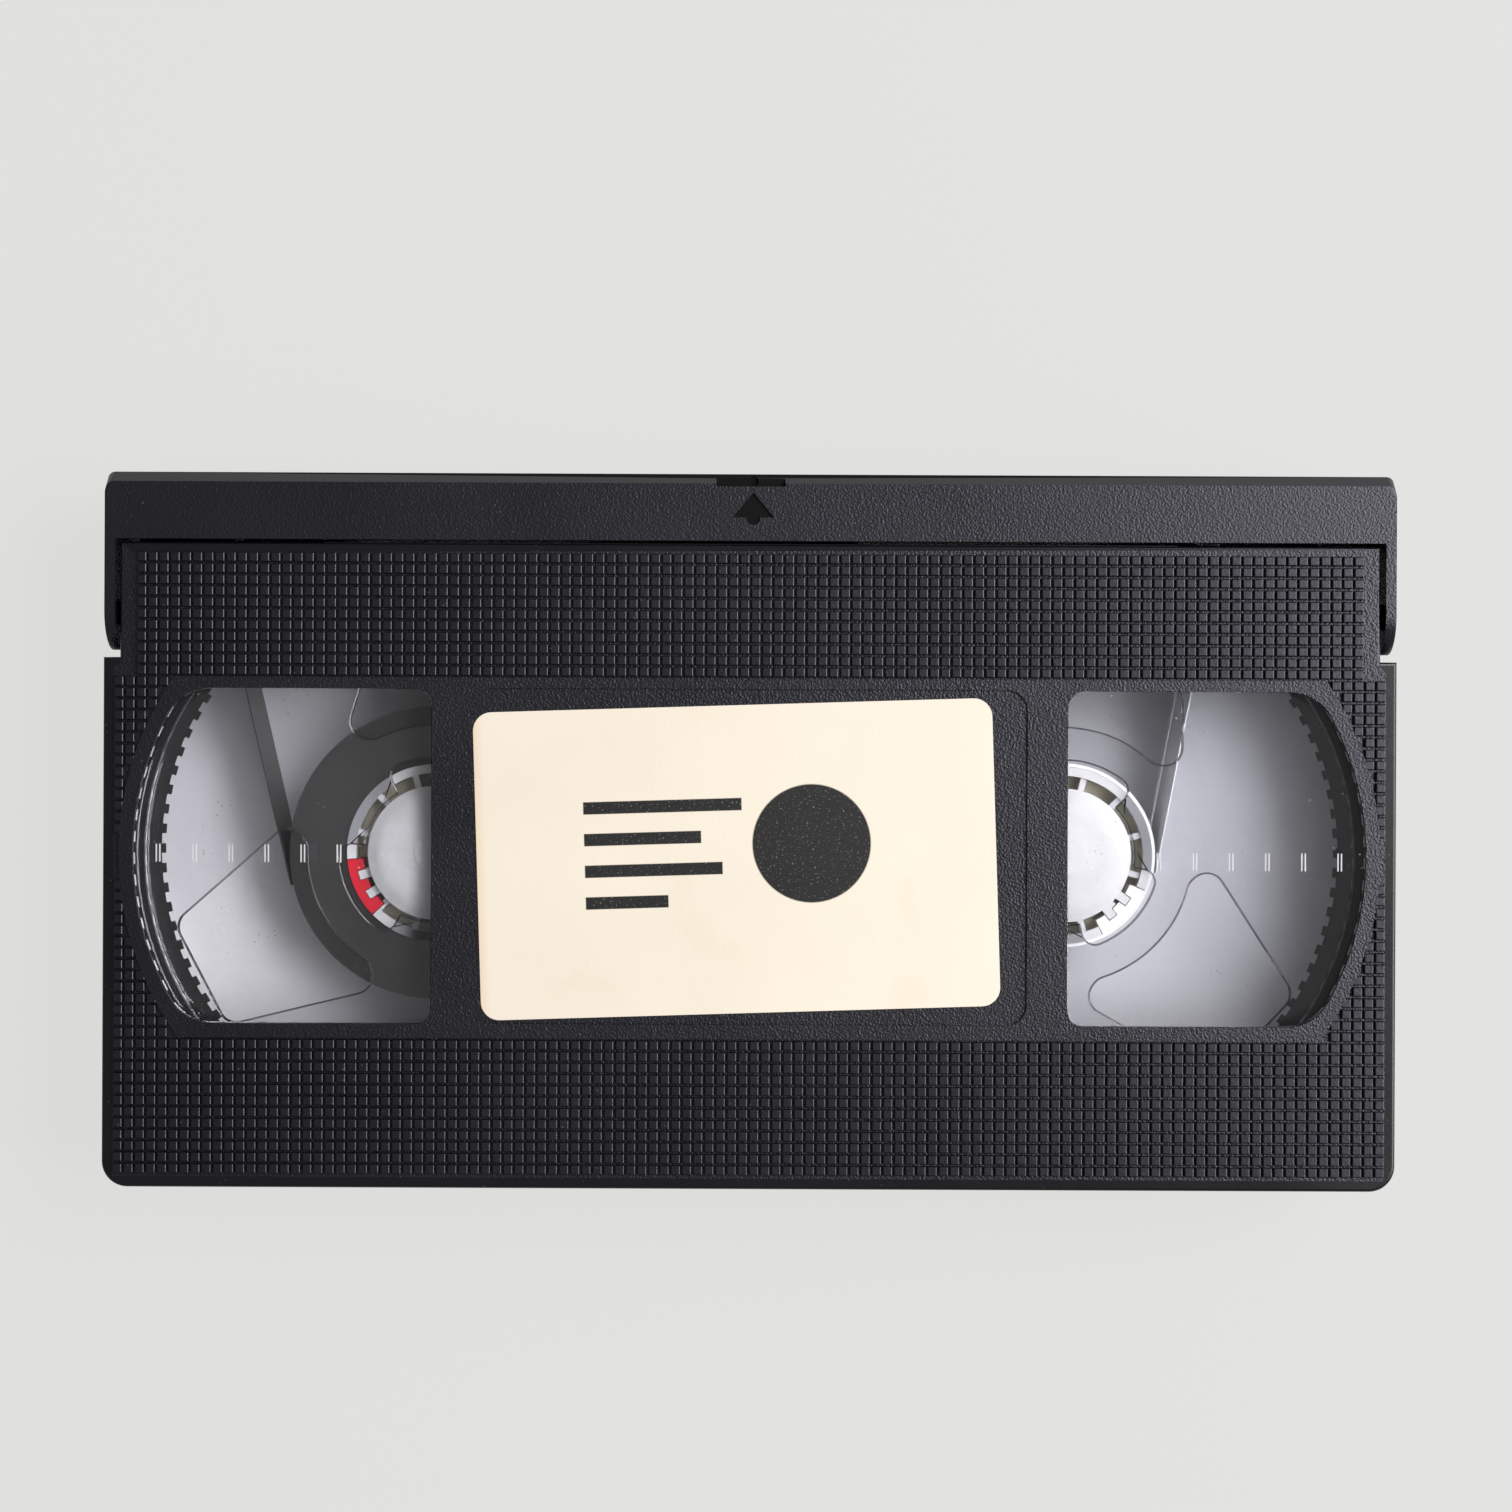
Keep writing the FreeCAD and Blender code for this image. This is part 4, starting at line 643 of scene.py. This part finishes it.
def refine(piece, width, segments=2, degrees=40):
    """Breaks the sharp edges of a piece with a small bevel."""
    pick(piece)
    edge = piece.modifiers.new("edge", "BEVEL")
    edge.limit_method = "ANGLE"
    edge.angle_limit = math.radians(degrees)
    edge.width = width
    edge.segments = segments
    bpy.ops.object.modifier_apply(modifier="edge")


def keep_flats_flat(piece):
    """Shades a piece smooth, with the normals of its large faces kept square to them."""
    smooth(piece, 35)
    piece.modifiers.new("flats", "WEIGHTED_NORMAL").keep_sharp = True
    bpy.ops.object.modifier_apply(modifier="flats")


def stand_for(piece, node_name, body):
    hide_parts(node_name)
    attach(piece, body)


def carve(piece, cutter, operation="DIFFERENCE"):
    """Cuts one piece with another, or joins it on, and removes the tool."""
    pick(piece)
    cut = piece.modifiers.new("carve", "BOOLEAN")
    cut.object = cutter
    cut.operation = operation
    cut.solver = "EXACT"
    bpy.ops.object.modifier_apply(modifier="carve")
    bpy.data.objects.remove(cutter)


shell = merged_copy("upper_shell", "shell_top")
print("shell copy:", len(shell.data.vertices), "points")

# %% [markdown]
# The field goes round the smooth island with its windows and its sticker. One half of its outline
# is drawn as points, given a height by an extrusion, and taken out of the copy on each side. The
# narrow ledge outside the field is smoother than the rest, so its faces get a glossier finish.

# %% Level the field
island_front = 22.19 * mm
island_rear = -30.11 * mm
island_radius = 45.3 * mm
groove_floor = 24.3 * mm
field_front = 40.2 * mm
field_rear = -50.4 * mm
field_half = 90.0 * mm
field_wide_half = 92.4 * mm
arm_rear = 23.4 * mm


def island_edge(y):
    """How far the smooth island reaches at a height of the plan."""
    return reel_x + math.sqrt(island_radius ** 2 - (y - reel_y) ** 2)


def field_outline(side):
    """One half of the grip field: round the outside, and back along the island."""
    steps = 48
    arc = [island_rear + (island_front - island_rear) * step / steps for step in range(steps + 1)]
    points = [(0, field_front), (field_half, field_front), (field_half, arm_rear),
              (field_wide_half, arm_rear), (field_wide_half, field_rear), (0, field_rear)]
    points += [(0, island_rear)] + [(island_edge(y), y) for y in arc] + [(0, island_front)]
    return [(x * side, y) for x, y in points]


def pick_new(mesh, name):
    piece = bpy.data.objects.new(name, mesh)
    bpy.context.scene.collection.objects.link(piece)
    return pick(piece)


def level_field(side):
    mesh = bpy.data.meshes.new("field_cutter")
    points = [(x, y, groove_floor) for x, y in field_outline(side)]
    mesh.from_pydata(points, [], [list(range(len(points)))])
    cutter = pick_new(mesh, "field_cutter")
    bpy.ops.object.mode_set(mode="EDIT")
    bpy.ops.mesh.select_all(action="SELECT")
    bpy.ops.mesh.extrude_region_move(TRANSFORM_OT_translate={"value": (0, 0, 2 * mm)})
    bpy.ops.mesh.select_all(action="SELECT")
    bpy.ops.mesh.normals_make_consistent(inside=False)
    bpy.ops.object.mode_set(mode="OBJECT")
    carve(shell, cutter)


for side in (1, -1):
    level_field(side)
shell.data.materials.append(ledge_gloss)
for face in shell.data.polygons:
    beside = abs(face.center.x) > field_wide_half - 0.2 * mm
    before = face.center.y > field_front + 0.3 * mm
    behind = face.center.y < field_rear + 0.1 * mm
    on_top = face.normal.z > 0.2 and face.center.z > 20 * mm
    if on_top and (beside or before or behind):
        face.material_index = 1
keep_flats_flat(shell)
stand_for(shell, "upper_shell", "case")
print("levelled shell:", len(shell.data.polygons), "faces")

# %% [markdown]
# One pad is a small block whose top edges are rounded in two steps, so its right edge catches the
# lamp as a thin line and the deep groove beside it stays dark. Two arrays repeat it in columns and
# rows, and the pads that would lie in the smooth island are deleted.

# %% Pads
column_pitch = 1.62 * mm
pad_width = 1.36 * mm
row_pitch = 1.643 * mm
columns = 114
rows = 55
first_row = 39.58 * mm
pad_top = 24.995 * mm
pad_foot = 24.27 * mm
pad_round = 0.17 * mm


def pick_faces(piece, wanted):
    """Selects the faces of a piece that a test picks, and nothing else of it."""
    bpy.ops.object.mode_set(mode="EDIT")
    bpy.ops.mesh.select_mode(type="FACE")
    bpy.ops.mesh.select_all(action="DESELECT")
    bpy.ops.object.mode_set(mode="OBJECT")
    for face in piece.data.polygons:
        face.select = wanted(face)


def make_pads():
    """All pads of the grip, as one piece."""
    first = Vector((-(columns - 1) / 2 * column_pitch, first_row, (pad_top + pad_foot) / 2))
    deselect()
    bpy.ops.mesh.primitive_cube_add(size=1, location=first)
    pads = bpy.context.object
    pads.name = "grip_pads"
    pads.scale = (pad_width, pad_width, pad_top - pad_foot)
    bpy.ops.object.transform_apply(location=True, rotation=False, scale=True)
    pick_faces(pads, lambda face: face.normal.z > 0.9)
    bpy.ops.object.mode_set(mode="EDIT")
    bpy.ops.mesh.bevel(offset=pad_round, segments=2, affect="EDGES")
    bpy.ops.object.mode_set(mode="OBJECT")
    per_pad = len(pads.data.polygons)
    for axis, pitch, count in ((0, column_pitch, columns), (1, -row_pitch, rows)):
        repeat = pads.modifiers.new("repeat", "ARRAY")
        repeat.use_relative_offset = False
        repeat.use_constant_offset = True
        repeat.constant_offset_displace = [pitch if index == axis else 0 for index in range(3)]
        repeat.count = count
        bpy.ops.object.modifier_apply(modifier="repeat")
    return pads, per_pad


def on_field(x, y):
    """Whether a pad at this place lies in the grip field."""
    half = column_pitch / 2
    edge = field_half if y > arm_rear - half else field_wide_half
    if abs(x) + half * 0.8 > edge:
        return False
    if island_rear - half * 0.3 < y < island_front + half * 0.3:
        near_y = min(max(y, island_rear), island_front)
        return abs(x) - half * 0.2 > island_edge(near_y)
    return True


pads, per_pad = make_pads()
for face in pads.data.polygons:
    pad = face.index // per_pad
    x = (pad % columns - (columns - 1) / 2) * column_pitch
    y = first_row - pad // columns * row_pitch
    face.select = not on_field(x, y)
bpy.ops.object.mode_set(mode="EDIT")
bpy.ops.mesh.delete(type="FACE")
bpy.ops.object.mode_set(mode="OBJECT")
pads.data.materials.append(pad_black)
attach(pads, "case")
print("pads:", len(pads.data.polygons) // per_pad)

# %% [markdown]
# ## The lid
# A broad arrow is pressed into the middle of the lid, pointing the way the cassette goes in, and
# a small round mark lies in the notch in front of it. A three-sided cylinder is the arrow's head
# and a round one its stem. They only cut 0.3 mm into a copy of the lid, so nothing stands above
# the case. The pressed faces are dull and dark, and the slope along the lid's front edge is painted
# a little lighter, a painted sheen.

# %% Lid marks
lid_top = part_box("front_lid")[1][2]
arrow_x = 0.36 * mm
mark_depth = 0.3 * mm
lid = merged_copy("front_lid", "lid_marked")


def plug(sides, radius, x, y, level, stretch=1.0):
    """A prism that reaches a little way below a level, as a tool for carving."""
    deselect()
    bpy.ops.mesh.primitive_cylinder_add(vertices=sides, radius=radius, depth=2 * mark_depth,
                                        location=(x, y, level))
    tool = bpy.context.object
    tool.scale = (stretch, 1, 1)
    bpy.ops.object.transform_apply(location=True, rotation=True, scale=True)
    return tool


carve(lid, plug(32, 1.0 * mm, arrow_x, 45.5 * mm, lid_top))
carve(lid, plug(3, 2.4 * mm, arrow_x, 46.8 * mm, lid_top, stretch=1.45))
carve(lid, plug(24, 0.8 * mm, 0.3 * mm, 50.9 * mm, lid_top - 1.0 * mm))
refine(lid, 0.12 * mm)
lid.data.materials.append(pressed_dark)
lid.data.materials.append(chamfer_painted_sheen)
for face in lid.data.polygons:
    x, y = face.center.x / mm, face.center.y / mm
    below = (lid_top - face.center.z) / mm
    in_arrow = abs(x) < 4.5 and 44 < y < 49.6 and 0.1 < below < 0.5
    in_notch = abs(x) < 5.1 and y > 49.9 and below < 1.6 and face.normal.z > 0.3
    slope = 0.2 < face.normal.z < 0.95 and face.normal.y > 0.25 and below < 1.5
    if in_arrow or in_notch:
        face.material_index = 1
    elif slope and y > 50:
        # Painted sheen on the slope along the lid's front edge.
        face.material_index = 2
keep_flats_flat(lid)
stand_for(lid, "front_lid", "lid")
print("lid:", len(lid.data.polygons), "faces")

# %% [markdown]
# ## The windows
# Each window is one clear moulding whose rim shows as a bright line, because its edge is rounded
# and bends the light of the room. A row of short raised marks on it shows how much tape is left.
# Every mark is a pair of fine ribs; one rib is a bar that is bevelled all round.

# %% Window panes
for node_name in ("window_left", "window_right"):
    pane = merged_copy(node_name, node_name + "_pane")
    refine(pane, 0.3 * mm, 3)
    stand_for(pane, node_name, "case")


# %% Window marks
def make_marks(name, places, middle_y):
    """Pairs of fine ribs across a window, as one piece."""
    ribs = []
    for x in places:
        for offset in (-0.25 * mm, 0.25 * mm):
            deselect()
            place = (x + offset, middle_y, window_top + 0.04 * mm)
            bpy.ops.mesh.primitive_cube_add(size=1, location=place)
            rib = bpy.context.object
            rib.scale = (0.2 * mm, 2.6 * mm, 0.12 * mm)
            bpy.ops.object.transform_apply(location=True, rotation=False, scale=True)
            bpy.ops.object.mode_set(mode="EDIT")
            bpy.ops.mesh.bevel(offset=0.03 * mm, segments=1, affect="EDGES")
            bpy.ops.object.mode_set(mode="OBJECT")
            ribs.append(rib)
    for rib in ribs:
        rib.select_set(True)
    bpy.context.view_layer.objects.active = ribs[0]
    bpy.ops.object.join()
    marks = bpy.context.object
    marks.name = name
    marks.data.materials.append(mark_white)
    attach(marks, "case")
    return marks


window_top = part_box("window_left")[1][2]
mark_pitch = 5.25 * mm
mark_steps = range(6)
make_marks("marks_left", [-85.8 * mm + step * mark_pitch for step in mark_steps], -3.4 * mm)
make_marks("marks_right", [59.4 * mm + step * mark_pitch for step in mark_steps], -4.1 * mm)
print("marks:", 2 * len(mark_steps))

# %% [markdown]
# ## The reels
# Hubs and upper flanges are fine mouldings. The copies of the hubs are shaded smooth. Those of the
# flanges get a very small bevel, and a dark tint on it, a painted shade, draws the outline of each
# opening.

# %% Reels
for side in ("supply", "takeup"):
    hub = merged_copy(side + "_hub", side + "_hub_fine")
    smooth(hub, 38)
    hub.data.materials[0] = reel_white if side == "supply" else takeup_white_painted_shade
    stand_for(hub, side + "_hub", side + "_reel")
    flange = merged_copy(side + "_top_flange", side + "_top_flange_fine")
    refine(flange, 0.26 * mm)
    flange.data.materials.append(flange_rim_painted_shade)
    for face in flange.data.polygons:
        # Bevel and wall faces take the painted-shade tint of the rim.
        face.material_index = int(abs(face.normal.z) < 0.97)
    stand_for(flange, side + "_top_flange", side + "_reel")
    print(side, "hub:", len(hub.data.polygons), "flange:", len(flange.data.polygons))
